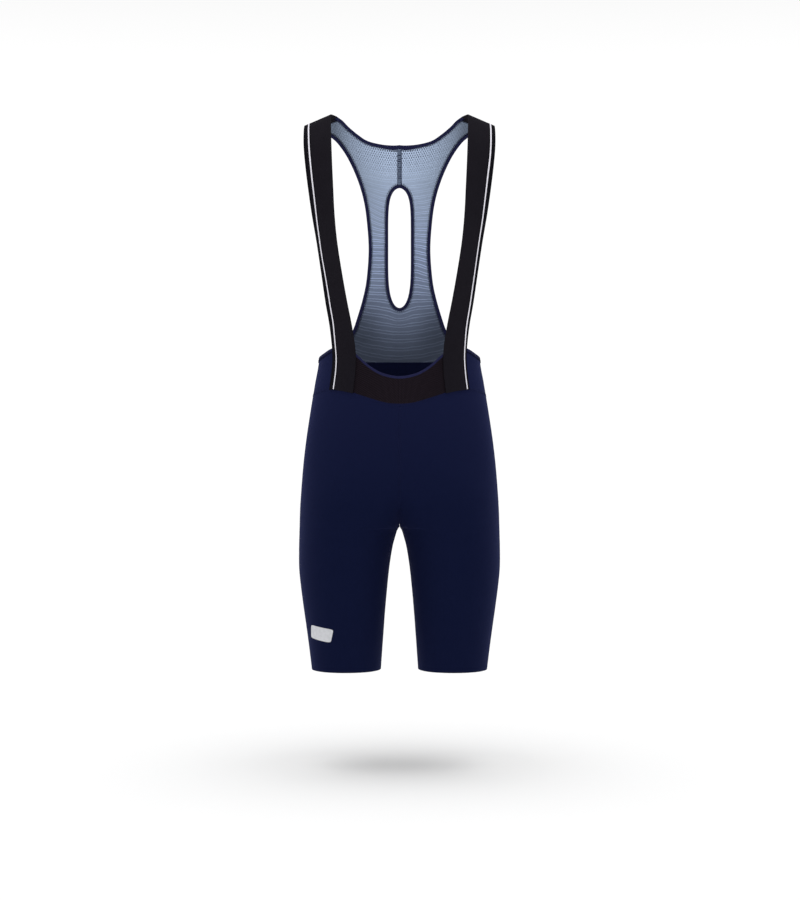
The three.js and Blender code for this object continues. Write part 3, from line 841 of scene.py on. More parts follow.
@dataclass(frozen=True)
class RibbedMesh:
    """Pale open mesh: pairs of raised rows, with eyelets between and larger ones at the neck, and
    painted shade.
    """

    name: str
    light: Light
    cloth: tuple[float, float, float] = (0.49, 0.6, 0.8)
    gain: float = 2.3

    def make(self) -> bpy.types.Material:
        """Build the material."""
        dye = Dye(self.name, 0.9, 0.03, (0.8, 0.9, 1.0))
        across, count = dye.axis(dye.chart(), 0), dye.axis(dye.chart(), 1)
        height = dye.axis(dye.place(), 2)
        drift = dye.math("MULTIPLY", dye.noise(14, dye.place()), 0.22)
        phase = dye.math("FRACT", dye.math("ADD", count, drift))
        ridge = dye.ramp(phase, greys(RIB_PROFILE))
        low, high = self.light.value[0][0], self.light.value[-1][0]
        level = dye.span(height, low, high)
        strength = dye.ramp(level, greys(RIB_STRENGTH, low, high))
        shown = dye.mix(strength, (0,) * 3, ridge)
        eyelets = self.eyelets(dye, across, count, 1.55, 6, (0.25, 0.8))
        big = self.eyelets(dye, across, count, 3.8, 3, (0.1, 0.5))
        upper = dye.span(height, -0.09, -0.04)
        side = dye.math("ABSOLUTE", across)
        middle = dye.span(side, 0.082, 0.03, 0.35)
        dots = dye.math("MULTIPLY", big, dye.math("MULTIPLY", upper, middle))
        holes = dye.math("MAXIMUM", dye.math("MULTIPLY", eyelets, 0.3), dots)
        patch = dye.mix(dye.noise(30, dye.place()), self.cloth, shaded(self.cloth, 0.93))
        # Lighter near the neck: partly to balance the darkening of the large holes there, partly
        # painted light on the top of the mesh.
        patch = dye.mix(upper, patch, shaded(self.cloth, 1.3))
        cloth = dye.mix(holes, patch, (0.06, 0.075, 0.12))
        lit = dye.mix(shown, cloth, shaded(self.cloth, self.gain))
        # Painted shade: the mesh darkens downwards, a little bluer where it is darker.
        painted_shade_stops = [(at, (v, v, min(1.1 * v, 1))) for at, (v, _, _) in greys(
            self.light.value, low, high
        )]
        shade = dye.ramp(level, painted_shade_stops)
        # More painted shade on the inside: darker towards the shoulders and towards the sides of
        # the waist.
        if self.light is Light.INSIDE:
            shoulder = dye.span(height, -0.19, -0.1)
            waist = dye.math(
                "MULTIPLY", dye.span(height, -0.27, -0.31), dye.span(height, -0.385, -0.345)
            )
            turned = dye.span(side, 0.0, SHADE_REACH * MM)
            for part, rows in ((shoulder, SHOULDER_LIGHT), (waist, WAIST_LIGHT)):
                away = dye.ramp(turned, greys(rows, 0, SHADE_REACH))
                shade = dye.mix(1.0, shade, dye.mix(part, WHITE, away), "MULTIPLY")
        colour = dye.mix(1.0, lit, shade, "MULTIPLY")
        relief = dye.bump(shown, 0.5)
        return dye.done(colour, dye.bump(holes, -0.2, relief))

    def eyelets(
        self,
        dye: Dye,
        across: bpy.types.NodeSocket,
        count: bpy.types.NodeSocket,
        pitch: float,
        rows: int,
        edge: tuple[float, float],
    ) -> bpy.types.NodeSocket:
        """Staggered round holes.

        Args:
            dye: The material under way.
            across: Sideways place in metres.
            count: Place among the rib pairs.
            pitch: Sideways spacing in millimetres.
            rows: Rows of holes to a pair.
            edge: Where a hole's soft edge starts and ends, from 0 on the thread to 1.

        Returns:
            1 in a hole and 0 on the thread.
        """
        a = dye.math("SINE", dye.math("MULTIPLY", across, math.tau / (pitch * MM)))
        b = dye.math("SINE", dye.math("MULTIPLY", count, math.pi * rows))
        return dye.span(dye.math("MULTIPLY", a, b), *edge)


@dataclass(frozen=True)
class SeamTape:
    """Dark open tape with a stitched line down each side and rungs between."""

    name: str = "seam_tape"
    body: tuple[float, float, float] = (0.165, 0.21, 0.3)
    edge: tuple[float, float, float] = (0.018, 0.022, 0.06)

    def make(self) -> bpy.types.Material:
        """Build the material."""
        dye = Dye(self.name, 0.85, 0.03, (0.8, 0.9, 1.0))
        side = dye.math("ABSOLUTE", dye.math("ADD", dye.axis(dye.place(), 0), 0.0004))
        border = dye.span(side, 0.0021, 0.0029)
        rungs = dye.wave(3.3, "Z", dye.place(), 1.2)
        patches = dye.span(dye.noise(5, dye.place()), 0.42, 0.56)
        rung = dye.math("MULTIPLY", dye.span(rungs, 0.45, 0.7), dye.math("ADD", patches, 0.35))
        body = dye.mix(dye.math("MULTIPLY", rung, 0.9), self.body, self.edge)
        flecks = dye.span(dye.noise(1.4, dye.place()), 0.5, 0.62)
        edge = dye.mix(dye.math("MULTIPLY", flecks, 0.4), self.edge, self.body)
        colour = dye.mix(border, body, edge)
        return dye.done(colour, dye.bump(rungs, 0.3))


@dataclass(frozen=True)
class StrapElastic:
    """Woven black elastic with lengthwise cords and a navy cast at its outer border."""

    name: str = "strap_elastic"
    body: tuple[float, float, float] = (0.0124, 0.0107, 0.0153)
    border: tuple[float, float, float] = (0.0045, 0.0042, 0.0065)

    def make(self) -> bpy.types.Material:
        """Build the material."""
        dye = Dye(self.name, 0.85, 0.018, (0.85, 0.82, 0.95))
        chart = dye.chart()
        cords = dye.wave(1.25, "X", chart)
        weft = dye.wave(0.8, "Y", chart)
        edge = dye.span(dye.axis(chart, 0), 0.0155, 0.0185)
        body = dye.mix(dye.noise(18, chart), self.body, shaded(self.body, 0.8))
        woven = dye.mix(dye.math("MULTIPLY", cords, 0.35), body, (0.004, 0.0035, 0.005))
        colour = dye.mix(edge, woven, self.border)
        relief = dye.bump(cords, 0.18)
        return dye.done(colour, dye.bump(weft, 0.06, relief))


@dataclass(frozen=True)
class PlainCloth:
    """Cloth or thread of one colour with a fine rib along it."""

    name: str
    colour: tuple[float, float, float]
    rib: float = 0.9
    depth: float = 0.08
    sheen: float = 0.1
    roughness: float = 0.65
    axis: str = "Y"

    def make(self) -> bpy.types.Material:
        """Build the material."""
        dye = Dye(self.name, self.roughness, self.sheen, (0.6, 0.6, 0.9))
        chart = dye.chart()
        ribs = dye.wave(self.rib, self.axis, chart)
        colour = dye.mix(dye.noise(6, chart), shaded(self.colour, 0.72), self.colour)
        return dye.done(colour, dye.bump(ribs, self.depth))


@dataclass
class Finishes:
    """All the garment's materials."""

    knit: bpy.types.Material = field(default_factory=lambda: LegKnit().make())
    front: bpy.types.Material = field(default_factory=lambda: FrontMesh().make())
    mesh_out: bpy.types.Material = field(
        default_factory=lambda: RibbedMesh("pale_mesh", Light.OUTSIDE).make()
    )
    mesh_in: bpy.types.Material = field(
        default_factory=lambda: RibbedMesh("pale_mesh_inside", Light.INSIDE).make()
    )
    elastic: bpy.types.Material = field(default_factory=lambda: StrapElastic().make())
    binding: bpy.types.Material = field(
        default_factory=lambda: PlainCloth(
            "navy_binding", (0.018, 0.0195, 0.066), sheen=0.03
        ).make()
    )
    thread: bpy.types.Material = field(
        default_factory=lambda: PlainCloth(
            "navy_thread", (0.009, 0.011, 0.045), rib=0.6, depth=0.04, sheen=0.02
        ).make()
    )
    tape: bpy.types.Material = field(default_factory=lambda: SeamTape().make())
    stripe: bpy.types.Material = field(
        default_factory=lambda: PlainCloth(
            "reflective_line", (0.93, 0.91, 0.99), rib=0.7, depth=0.02, roughness=0.4
        ).make()
    )
    bed: bpy.types.Material = field(
        default_factory=lambda: PlainCloth(
            "line_bed", (0.0035, 0.003, 0.005), rib=0.7, depth=0.02, sheen=0.0, roughness=0.8
        ).make()
    )
    tab: bpy.types.Material = field(
        default_factory=lambda: PlainCloth(
            "reflective_tab", (0.72, 0.73, 0.76), rib=0.5, depth=0.01, roughness=0.38
        ).make()
    )


def axis_point(point: Vector) -> Vector:
    """Point on the garment's axis at the same level."""
    return Vector((0, 0, point.z))


@dataclass
class LegPanel:
    """One leg panel, cut in one piece from centre front to centre back."""

    side: Side
    finishes: Finishes
    columns: int = 132
    rows: int = 150
    hips: float = 0.46
    wall: float = 1.0

    def level(self, around: float, share: float) -> float:
        """Level of a row, closer together near the crotch."""
        if share < self.hips:
            top = FORM.seam(FORM.hip_wrap(around)) - 0.1
            return CROTCH + (top - CROTCH) * (1 - share / self.hips) ** 1.7
        return CROTCH + (HEM - CROTCH) * ((share - self.hips) / (1 - self.hips)) ** 1.2

    def point(self, around: float, share: float) -> Vector:
        """Point on the panel's outer face."""
        found = FORM.leg(around, self.level(around, share))
        return Vector((found.x * self.side.value, found.y, found.z))

    def build(self) -> bpy.types.Object:
        """Build the panel.

        Returns:
            The panel, in place of its solid.
        """
        name = "leg_panel_" + self.side.name.lower()
        mesh = Mesh(name + "_cloth")
        mesh.grid(
            self.columns,
            self.rows,
            self.point,
            lambda a, s: (0.5 * a, self.level(a, s) * MM),
        )
        centre = Vector((0.085 * self.side.value, 0, 0))
        made = mesh.finish(
            [self.finishes.knit], "navy_knit", lambda p: centre + Vector((0, 0, p.z)), self.wall
        )
        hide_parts(name)
        return made


@dataclass
class Waist:
    """Navy yoke round the back and sides, and the black mesh front that runs under the straps."""

    finishes: Finishes
    wall: float = 1.0
    gap: float = 0.08
    neck_inset: float = 3.2

    def top(self, turned: float) -> float:
        """Level of the cloth's top edge under the binding or the back mesh."""
        if turned < SIDE_SEAM:
            return FORM.edge(turned) - self.neck_inset
        bound = FORM.edge(turned) - BINDING_WIDTH + 0.6 + 0.3 * max(turned - EDGE_END, 0)
        return bound if turned < EDGE_END else min(bound, MESH_SEAM - 0.1)

    def front_panel(self) -> bpy.types.Object:
        """Build the front panel in place of its solid."""
        reach = SIDE_SEAM - self.gap
        mesh = Mesh("waist_front_cloth")

        def place(across: float, share: float) -> Vector:
            wrap = lerp(-reach, reach, across)
            low = FORM.seam(abs(wrap)) + 0.1
            return FORM.torso(wrap, lerp(self.top(abs(wrap)), low, share))

        mesh.grid(96, 30, place, lambda a, s: (0.215 * a, 0.045 * s))
        made = mesh.finish([self.finishes.front], "black_mesh", axis_point, self.wall)
        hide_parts("waist_front_panel")
        return made

    def yoke(self) -> bpy.types.Object:
        """Build the yoke in place of its solid."""
        start = SIDE_SEAM + self.gap
        mesh = Mesh("waist_yoke_cloth")

        def place(across: float, share: float) -> Vector:
            wrap = lerp(start, 360 - start, across)
            turned = min(wrap, 360 - wrap)
            low = FORM.seam(turned) + 0.1
            return FORM.torso(wrap, lerp(self.top(turned), low, share))

        mesh.grid(220, 24, place, lambda a, s: (0.58 * a, 0.065 * s))
        made = mesh.finish([self.finishes.knit], "navy_knit", axis_point, self.wall)
        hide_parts("waist_yoke")
        return made


@dataclass
class BackMesh:
    """Ribbed mesh back with its slot, and the tape over its centre seam."""

    finishes: Finishes
    slot_down: float = 248.0
    slot_half_width: float = 18.6
    slot_above: float = 96.0
    slot_below: float = 94.0
    slot_top_power: float = 6.5
    slot_foot_power: float = 4.0
    under: float = 1.2
    tape_width: float = 7.2
    wall: float = 0.9
    sag: float = 7.5
    slant: float = 0.36
    dip: float = 6.0
    pairs: Curve = field(default_factory=lambda: Curve(RIB_PAIRS))
    pairs_start: float = 0.285

    def slot(self, turn: float, margin: float) -> Vector:
        """Point of the slot's outline in x and down.

        Args:
            turn: Angle from the slot's top.
            margin: Step outwards from the free edge.

        Returns:
            The flat point.
        """
        rise = math.cos(turn)
        power = self.slot_top_power if rise > 0 else self.slot_foot_power
        length = (self.slot_above if rise > 0 else self.slot_below) + margin
        x = math.copysign(math.sqrt(1 - abs(rise) ** power), math.sin(turn))
        return Vector(((self.slot_half_width + margin) * x, self.slot_down - length * rise))

    def armhole(self, distance: float) -> Path:
        """Armhole edge moved in by a distance, from the strap end to the waist."""
        moved = Path([Vector(p) for p in ARMHOLE_EDGE]).moved(distance, 200)
        return Path([p for p in moved if p.y > STRAP_END + 0.3], 3)

    def neck(self, distance: float) -> Path:
        """Neck edge moved in by a distance, from the strap to centre back."""
        return Path([Vector(p) for p in NECK_EDGE]).moved(-distance, 80)

    def build(self) -> bpy.types.Object:
        """Build the panel in place of its solid.

        Returns:
            The panel.
        """
        inset = BINDING_WIDTH - self.under
        arm = self.armhole(inset)
        neck = Path([p for p in reversed(self.neck(inset)) if p.x > -0.01], 3)
        foot_y = BACK_END - 0.2
        arm = Path([p for p in arm.moved(0, 200) if p.y < foot_y], 3)
        corner = Vector((neck.at(1).x, STRAP_END + 0.3))
        slot_top = self.slot(0, inset).y
        slot_foot = self.slot(math.pi, inset).y
        neck_down = neck.at(0).y
        upper, lower, side_end = 0.16, 0.84, 0.86

        def flat(across: float, share: float) -> Vector:
            if share < upper:
                part = share / upper
                inner = Vector((0, lerp(neck_down, slot_top, part)))
                outer = corner.lerp(arm.at(0), part)
                point = inner.lerp(outer, across)
                chord = Vector((0, neck_down)).lerp(corner, across)
                return point + (neck.at(across) - chord) * (1 - part)
            if share < lower:
                part = (share - upper) / (lower - upper)
                inner = self.slot(math.pi * part, inset)
                return inner.lerp(arm.at(side_end * part ** 1.25), across)
            part = (share - lower) / (1 - lower)
            inner = Vector((0, lerp(slot_foot, foot_y, part)))
            outer = arm.at(lerp(side_end, 1, part))
            outer = outer.lerp(Vector((outer.x, foot_y)), smooth(part, 0.8, 1))
            return inner.lerp(outer, across)

        mesh = Mesh("back_mesh_cloth")
        for side in Side:

            def place(across: float, share: float, sign: int = side.value) -> Vector:
                spot = flat(across, share)
                return FORM.spine(max(spot.x, 0) * sign, spot.y)

            def chart(across: float, share: float, sign: int = side.value) -> tuple[float, float]:
                spot = flat(across, share)
                x = spot.x * sign
                return x * MM, self.rows(x, FORM.spine(x, spot.y).z)

            faces = mesh.grid(44, 150, place, chart)
            if side is Side.RIGHT:
                bmesh.ops.reverse_faces(mesh.bm, faces=faces)
        made = mesh.finish(
            [self.finishes.mesh_out, self.finishes.mesh_in], "pale_mesh", axis_point, self.wall
        )
        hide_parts("back_mesh_panel")
        self.tape()
        return made

    def rows(self, x: float, z: float) -> float:
        """Place of a point among the cloth's ribs.

        Args:
            x: Sideways place.
            z: Level.

        Returns:
            The count of rib pairs from the top, where 1 is a pair.
        """
        level = z - self.sag * (x / 60) ** 2 * (1 - hill(z, -215, 78, 4))
        for sign, middle, reach in ((1, -224, 46), (-1, -138, 36)):
            slant = self.slant * hill(z, middle, reach) * smooth(sign * x, 12, 34)
            level += slant * (x - sign * 35)
        level += self.dip * hill(x, 0, 17) * hill(z, -300, 26)
        return self.pairs(level) + self.pairs_start

    def tape(self) -> bpy.types.Object:
        """Build the centre seam tape on the inside, in place of its solid.

        Returns:
            The tape.
        """
        top = NECK_EDGE[-1][1] + BINDING_WIDTH - 0.5
        foot = self.slot(0, BINDING_WIDTH - 0.5).y
        mesh = Mesh("back_seam_tape_cloth")

        def ring(round_: float, along: float) -> Vector:
            down = lerp(top, foot, along)
            turn = math.tau * round_
            x = self.tape_width / 2 * signed_power(math.cos(turn), 0.7)
            deep = -1.55 + 0.4 * signed_power(math.sin(turn), 0.7)
            return FORM.spine(x, down) + FORM.spine_out(x, down) * deep

        mesh.tube(16, 60, ring, lambda r, s: (0.013 * r, (foot - top) * MM * s))
        made = mesh.finish([self.finishes.tape], "seam_tape")
        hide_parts("back_seam_tape")
        return made


@dataclass
class Binding:
    """Folded binding: a soft flat roll over a cut edge."""

    name: str
    stations: Callable[[float], Station]
    length: float
    finishes: Finishes
    node: str
    thickness: float = 1.9
    proud: float = 0.45
    wall: float = 0.45
    fold: float = 0.19
    strip: float = 11.5
    flank: float = 0.36

    def build(self) -> bpy.types.Object:
        """Fold the strip over the edge, in place of its solid.

        Returns:
            The binding.
        """
        mesh = Mesh(self.name)
        rise = self.thickness / 2
        middle = self.proud - rise

        def place(round_: float, along: float) -> Vector:
            spot = self.stations(along)
            turn = math.pi * min(max((round_ - self.flank) / (1 - 2 * self.flank), 0.0), 1.0)
            across = self.fold * (1 - signed_power(math.sin(turn), 0.8))
            lift = -rise * signed_power(math.cos(turn), 0.8)
            flat = max(self.flank - round_, round_ - 1 + self.flank, 0.0) / self.flank
            across = lerp(across, 1, flat)
            lift *= 1 - 0.16 * flat ** 3
            return spot.free.lerp(spot.sewn, across) + spot.out * (lift + middle)

        stations = int(self.length / 1.7)
        mesh.grid(16, stations, place, lambda r, s: (0.012 * r, self.length * MM * s))
        core = KDTree(stations + 1)
        for i in range(stations + 1):
            spot = self.stations(i / stations)
            core.insert((spot.free.lerp(spot.sewn, 0.5) + spot.out * middle) * MM, i)
        core.balance()
        made = mesh.finish(
            [self.finishes.binding], "navy_binding", lambda p: core.find(p)[0], self.wall
        )
        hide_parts(self.node)
        return made


@dataclass
class Thread:
    """Thread lying on the cloth along a line."""

    name: str
    line: Callable[[float], Vector]
    points: int
    finishes: Finishes
    radius: float = 0.42

    def build(self) -> bpy.types.Object:
        """Build the thread as a thin tube.

        Returns:
            The thread.
        """
        spots = [self.line(i / self.points) for i in range(self.points + 1)]
        last = len(spots) - 1
        frames = []
        for i, spot in enumerate(spots):
            along = (spots[min(i + 1, last)] - spots[max(i - 1, 0)]).normalized()
            side = along.cross(Vector((0.31, 0.83, 0.46))).normalized()
            frames.append((spot, side, along.cross(side)))
        mesh = Mesh(self.name)

        def ring(round_: float, along: float) -> Vector:
            spot, side, up = frames[round(along * last)]
            turn = math.tau * round_
            return spot + (side * math.cos(turn) + up * math.sin(turn)) * self.radius

        mesh.tube(5, last, ring, lambda r, s: (0.002 * r, 0.5 * s))
        return mesh.finish([self.finishes.thread], "navy_binding")


@dataclass
class Bindings:
    """All the bindings, and the zigzag thread that holds each to its panel, except at the front
    neck.
    """

    back: BackMesh
    finishes: Finishes
    join: float = 44.0
    tooth: float = 1.6
    narrow: float = 4.5
    wide: float = 6.0
    front: float = 4.0
    arm_length: float = 650.0
    waist_part: float = 0.27
    bridge: float = 0.02

    def on_back(self, free: Path, sewn: Path, share: float, sign: int = 1) -> Station:
        """Cross line of a binding on the back."""
        a, b = free.at(share), sewn.at(share)
        middle = (a + b) / 2
        flip = Vector((sign, 1, 1))
        return Station(
            FORM.spine(a.x, a.y) * flip,
            FORM.spine(b.x, b.y) * flip,
            FORM.spine_out(middle.x, middle.y) * flip,
        )

    def on_waist(self, wrap: float, width: float = BINDING_WIDTH) -> Station:
        """Cross line of a binding on the waist."""
        z = FORM.edge(abs(wrap))
        return Station(
            FORM.torso(wrap, z),
            FORM.torso(wrap, z - width),
            FORM.torso_out(wrap, z - width / 2),
        )

    def zigzag(
        self, name: str, stations: Callable[[float], Station], length: float, face: Face
    ) -> None:
        """Sew a zigzag along a binding's seam edge.

        Args:
            name: The thread's name.
            stations: The binding's cross lines.
            length: The binding's length.
            face: The side of the cloth it lies on.
        """
        count = int(length / self.tooth)

        def line(share: float) -> Vector:
            spot = stations(share)
            reach = 1.12 + 0.28 * (-1) ** round(share * count)
            lift = 0.5 if face is Face.OUTSIDE else -1.35
            return spot.free.lerp(spot.sewn, reach) + spot.out * lift

        Thread(name, line, count, self.finishes).build()

    def build(self) -> None:
        """Build every binding, and the zigzags of all but the front neck binding."""
        self.neck_front()
        self.neck_back()
        self.slot_edge()
        for side in Side:
            self.armhole(side)

    def neck_front(self) -> None:
        """Build the front neck binding."""

        def stations(share: float) -> Station:
            wrap = lerp(-self.join + 0.1, self.join - 0.1, share)
            return self.on_waist(wrap, lerp(self.front, self.narrow, smooth(abs(wrap), 30, 44)))

        Binding(
            "neck_binding_front_cloth", stations, 222, self.finishes, "neck_binding_front",
            strip=10.0,
        ).build()

    def neck_back(self) -> None:
        """Build the back neck binding."""
        half = [Vector(p) for p in NECK_EDGE]
        whole = Path(half + [Vector((-p.x, p.y)) for p in reversed(half[:-1])])
        sewn = Path(whole.moved(-self.narrow), 3)
        broad = Path(whole.moved(-self.wide), 3)

        def stations(share: float) -> Station:
            side, middle = self.on_back(whole, sewn, share), self.on_back(whole, broad, share)
            part = smooth(abs(share - 0.5), 0.13, 0.03)
            return Station(side.free, side.sewn.lerp(middle.sewn, part), side.out)

        Binding(
            "neck_binding_back_cloth", stations, whole.length, self.finishes, "neck_binding_back"
        ).build()
        for face in Face:
            self.zigzag("neck_zigzag_" + face.name.lower(), stations, whole.length, face)

    def slot_edge(self) -> None:
        """Build the slot's binding."""
        turns = [math.tau * i / 120 for i in range(121)]
        free = Path([self.back.slot(t, 0) for t in turns], 3)
        sewn = Path([self.back.slot(t, BINDING_WIDTH) for t in turns], 3)

        def stations(share: float) -> Station:
            return self.on_back(free, sewn, share)

        Binding(
            "slot_binding_cloth", stations, free.length, self.finishes, "slot_binding"
        ).build()
        for face in Face:
            self.zigzag("slot_zigzag_" + face.name.lower(), stations, free.length, face)

    def armhole(self, side: Side) -> None:
        """Build one armhole binding, from under the strap up to the shoulder.

        Args:
            side: The wearer's side.
        """
        free = Path(list(reversed(self.back.armhole(0).line)), 1)
        sewn = Path(list(reversed(self.back.armhole(BINDING_WIDTH).line)), 1)
        low = self.waist_part
        flip = Vector((side.value, 1, 1))

        def stations(share: float) -> Station:
            if share < low:
                spot = self.on_waist(lerp(self.join + 0.1, EDGE_END, share / low))
                return Station(spot.free * flip, spot.sewn * flip, spot.out * flip)
            reach = (share - low) / (1 - low)
            spot = self.on_back(free, sewn, reach, side.value)
            if reach < self.bridge:
                last = self.on_waist(EDGE_END)
                part = reach / self.bridge
                return Station(
                    (last.free * flip).lerp(spot.free, part),
                    (last.sewn * flip).lerp(spot.sewn, part),
                    (last.out * flip).lerp(spot.out, part).normalized(),
                )
            return spot

        name = side.name.lower()
        node = "armhole_binding_" + name
        Binding(node + "_cloth", stations, self.arm_length, self.finishes, node).build()
        for face in Face:
            thread = "armhole_zigzag_" + name + "_" + face.name.lower()
            self.zigzag(thread, stations, self.arm_length, face)


@dataclass
class Strap:
    """One elastic shoulder strap with its reflective line."""

    side: Side
    finishes: Finishes
    width_waist: float = 44.5
    width_shoulder: float = 46.0
    lift: float = 0.7
    thickness: float = 1.6
    line_width: float = 2.5
    bed_width: float = 5.4
    lap_length: float = 10.0
    lap_wall: float = 0.4
    lap_teeth: int = 34
    columns: tuple[Path, ...] = ()

    def __post_init__(self) -> None:
        """Lay out the strap's lengthwise lines."""
        self.columns = tuple(Path(self.line(step / 4), 8) for step in range(5))

    def offset(self, z: float, across: float) -> float:
        """Distance from the centre line at a share across the strap."""
        width = lerp(self.width_waist, self.width_shoulder, smooth(z, -90, -10))
        return (across - 0.5) * width

    def line(self, across: float) -> list[Vector]:
        """Points of one lengthwise line, from the waist over the shoulder.

        Args:
            across: 0 at the inner edge to 1 at the outer edge.

        Returns:
            The points, on the wearer's left.
        """
        found = []
        for i, (z, x) in enumerate(STRAP_ON_WAIST):
            middle = math.degrees(math.asin((x / FORM.half(z)) ** (FORM.power(z) / 2)))
            speed = (FORM.torso(middle + 1, z) - FORM.torso(middle - 1, z)).length / 2
            wrap = middle + self.offset(z, across) / speed
            level = FORM.seam(wrap) + 0.3 if i == 0 else z
            out = FORM.torso_out(wrap, level)
            found.append(FORM.torso(wrap, level) + out * (self.lift + self.thickness))
        for row in STRAP_FREE:
            turn, drop = math.radians(row.turn), math.radians(row.drop)
            outward = Vector((
                math.cos(turn) * math.cos(drop), math.sin(turn) * math.cos(drop), -math.sin(drop),
            ))
            found.append(Vector((row.x, row.y, row.z)) + outward * self.offset(row.z, across))
        for down, flare in STRAP_BEHIND:
            x = FORM.slope_x + self.offset(0, across) * math.cos(SHOULDER_SLOPE)
            found.append(FORM.spine(x - flare * (1 - across), down))
        return found

    def point(self, across: float, along: float) -> Vector:
        """Point of the outer face: across from the inner edge, along from the waist."""
        place = min(max(across, 0.0), 1.0) * 4
        i = min(int(place), 3)
        found = self.columns[i].at(along).lerp(self.columns[i + 1].at(along), place - i)
        found.x *= self.side.value
        return found

    def out(self, across: float, along: float) -> Vector:
        """Outward direction of the strap there."""
        side = self.point(across + 0.05, along) - self.point(across - 0.05, along)
        up = self.point(across, along + 0.004) - self.point(across, along - 0.004)
        return side.cross(up).normalized() * self.side.value

    def build(self) -> bpy.types.Object:
        """Build the strap in place of its solid, with its line.

        Returns:
            The strap.
        """
        name = "strap_" + self.side.name.lower()
        length = self.columns[2].length
        mesh = Mesh(name + "_cloth")
        mesh.grid(
            26, 240, self.point, lambda a, s: ((a - 0.5) * 0.044, length * MM * s)
        )
        made = mesh.finish(
            [self.finishes.elastic],
            "strap_elastic",
            lambda p: Vector((p.x * 0.6, 0, min(p.z, -0.1))),
            self.thickness,
        )
        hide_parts(name)
        self.woven_line(name + "_line_bed", self.bed_width, 0.05, self.finishes.bed)
        self.woven_line(name + "_line", self.line_width, 0.14, self.finishes.stripe)
        self.lap(name + "_lap")
        return made

    def lap(self, name: str) -> bpy.types.Object:
        """Lap the strap's end over the back mesh on the inside, and sew it with a zigzag.

        Args:
            name: The lap's name.

        Returns:
            The lap.
        """
        neck = Curve([(down, x) for x, down in NECK_EDGE])
        arm = Curve([(down, x) for x, down in ARMHOLE_EDGE])
        end = STRAP_END + self.lap_length
        mesh = Mesh(name)

        def place(across: float, share: float, lift: float = -1.05) -> Vector:
            down = lerp(STRAP_END - 0.4, end, share)
            x = lerp(neck(down) + 1.0, arm(down) - 1.0, across)
            spot = FORM.spine(x, down) + FORM.spine_out(x, down) * lift
            return Vector((spot.x * self.side.value, spot.y, spot.z))

        mesh.grid(36, 8, place, lambda a, s: (0.05 * a, 0.01 * s))
        made = mesh.finish(
            [self.finishes.elastic], "strap_elastic",
            lambda p: Vector((p.x, p.y, 1.0)), self.lap_wall,
        )

        def line(share: float) -> Vector:
            return place(share, 1.06 + 0.1 * (-1) ** round(share * self.lap_teeth), -1.5)

        Thread(name + "_zigzag", line, self.lap_teeth, self.finishes).build()
        return made

    def woven_line(
        self, name: str, width: float, height: float, finish: bpy.types.Material
    ) -> bpy.types.Object:
        """Weave in a line near the outer edge.

        Args:
            name: The line's name.
            width: Its width.
            height: Its height over the strap.
            finish: Its material.

        Returns:
            The line.
        """
        inward = Curve([(z, (left, right)[self.side is Side.RIGHT]) for z, right, left in LINE_IN])
        mesh = Mesh(name)

        def ring(round_: float, along: float) -> Vector:
            turn = math.tau * round_
            share = lerp(0.002, 0.998, along)
            centre = 1 - inward(self.point(0.8, share).z) / self.width_waist
            half = width / 2 / self.width_waist
            across = centre + half * signed_power(math.cos(turn), 0.6)
            lift = 0.02 + height * signed_power(math.sin(turn), 0.6)
            return self.point(across, share) + self.out(across, share) * lift

        mesh.tube(8, 220, ring, lambda r, s: (0.006 * r, 0.52 * s))
        return mesh.finish([finish], "strap_elastic")


@dataclass
class LegTab:
    """Plain reflective tab bonded to the wearer's right thigh."""

    finishes: Finishes
    around: float = 0.352
    level: float = -816.0
    half_width: float = 24.5
    half_height: float = 10.5
    slant: float = 3.0
    lift: float = 0.28
    girth: float = 432.0

    def build(self) -> bpy.types.Object:
        """Build the tab.

        Returns:
            The tab.
        """
        mesh = Mesh("reflective_tab")

        def place(across: float, share: float) -> Vector:
            s, t = 2 * across - 1, 2 * share - 1
            x = s * (1 - 0.045 * t ** 8) * self.half_width
            y = t * (1 - 0.1 * s ** 8) * self.half_height
            around = self.around - (x + self.slant * t) / self.girth
            z = self.level + y - 0.11 * x
            spot = FORM.leg(around, z) + FORM.leg_out(around, z) * self.lift
            return Vector((-spot.x, spot.y, spot.z))

        mesh.grid(40, 20, place, lambda a, s: (0.05 * a, 0.022 * s))
        return mesh.finish(
            [self.finishes.tab], "navy_knit", lambda p: Vector((-0.085, 0, p.z)), 0.25
        )


@dataclass
class Seam:
    """Flat ridge of a covered seam with its two thread rows."""

    name: str
    line: Callable[[float], tuple[Vector, Vector, Vector]]
    length: float
    finishes: Finishes
    width: float = 3.6
    height: float = 0.35
    pitch: float = 3.0

    def build(self) -> None:
        """Build the ridge and its stitches."""
        mesh = Mesh(self.name)

        def ring(round_: float, along: float) -> Vector:
            point, out, side = self.line(along)
            turn = math.tau * round_
            lift = self.height * (0.1 + 0.9 * signed_power(math.sin(turn), 0.8))
            return point + side * (self.width / 2 * math.cos(turn)) + out * lift

        mesh.tube(
            10, max(int(self.length / 3), 8), ring,
            lambda r, s: (0.009 * r, self.length * MM * s),
        )
        mesh.finish([self.finishes.knit], "navy_knit")
        self.stitches()

    def stitches(self) -> None:
        """Lay the two rows of small stitches."""
        mesh = Mesh(self.name + "_stitches")
        count = int(self.length / self.pitch)
        for i in range(count):
            share = (i + 0.5) / count
            point, out, side = self.line(share)
            along = side.cross(out)
            for row in (-1, 1):
                centre = point + side * (row * self.width * 0.36) + out * (self.height + 0.02)
                turn = Matrix((side * 0.28, along * (self.pitch * 0.4), out * 0.2)).transposed()
                place = Matrix.Translation(centre * MM) @ (turn * MM).to_4x4()
                place[3][3] = 1
                bmesh.ops.create_icosphere(mesh.bm, subdivisions=1, radius=1, matrix=place)
        for face in mesh.bm.faces:
            face.smooth = True
        mesh.finish([self.finishes.thread], "navy_binding", merge=1e-7)


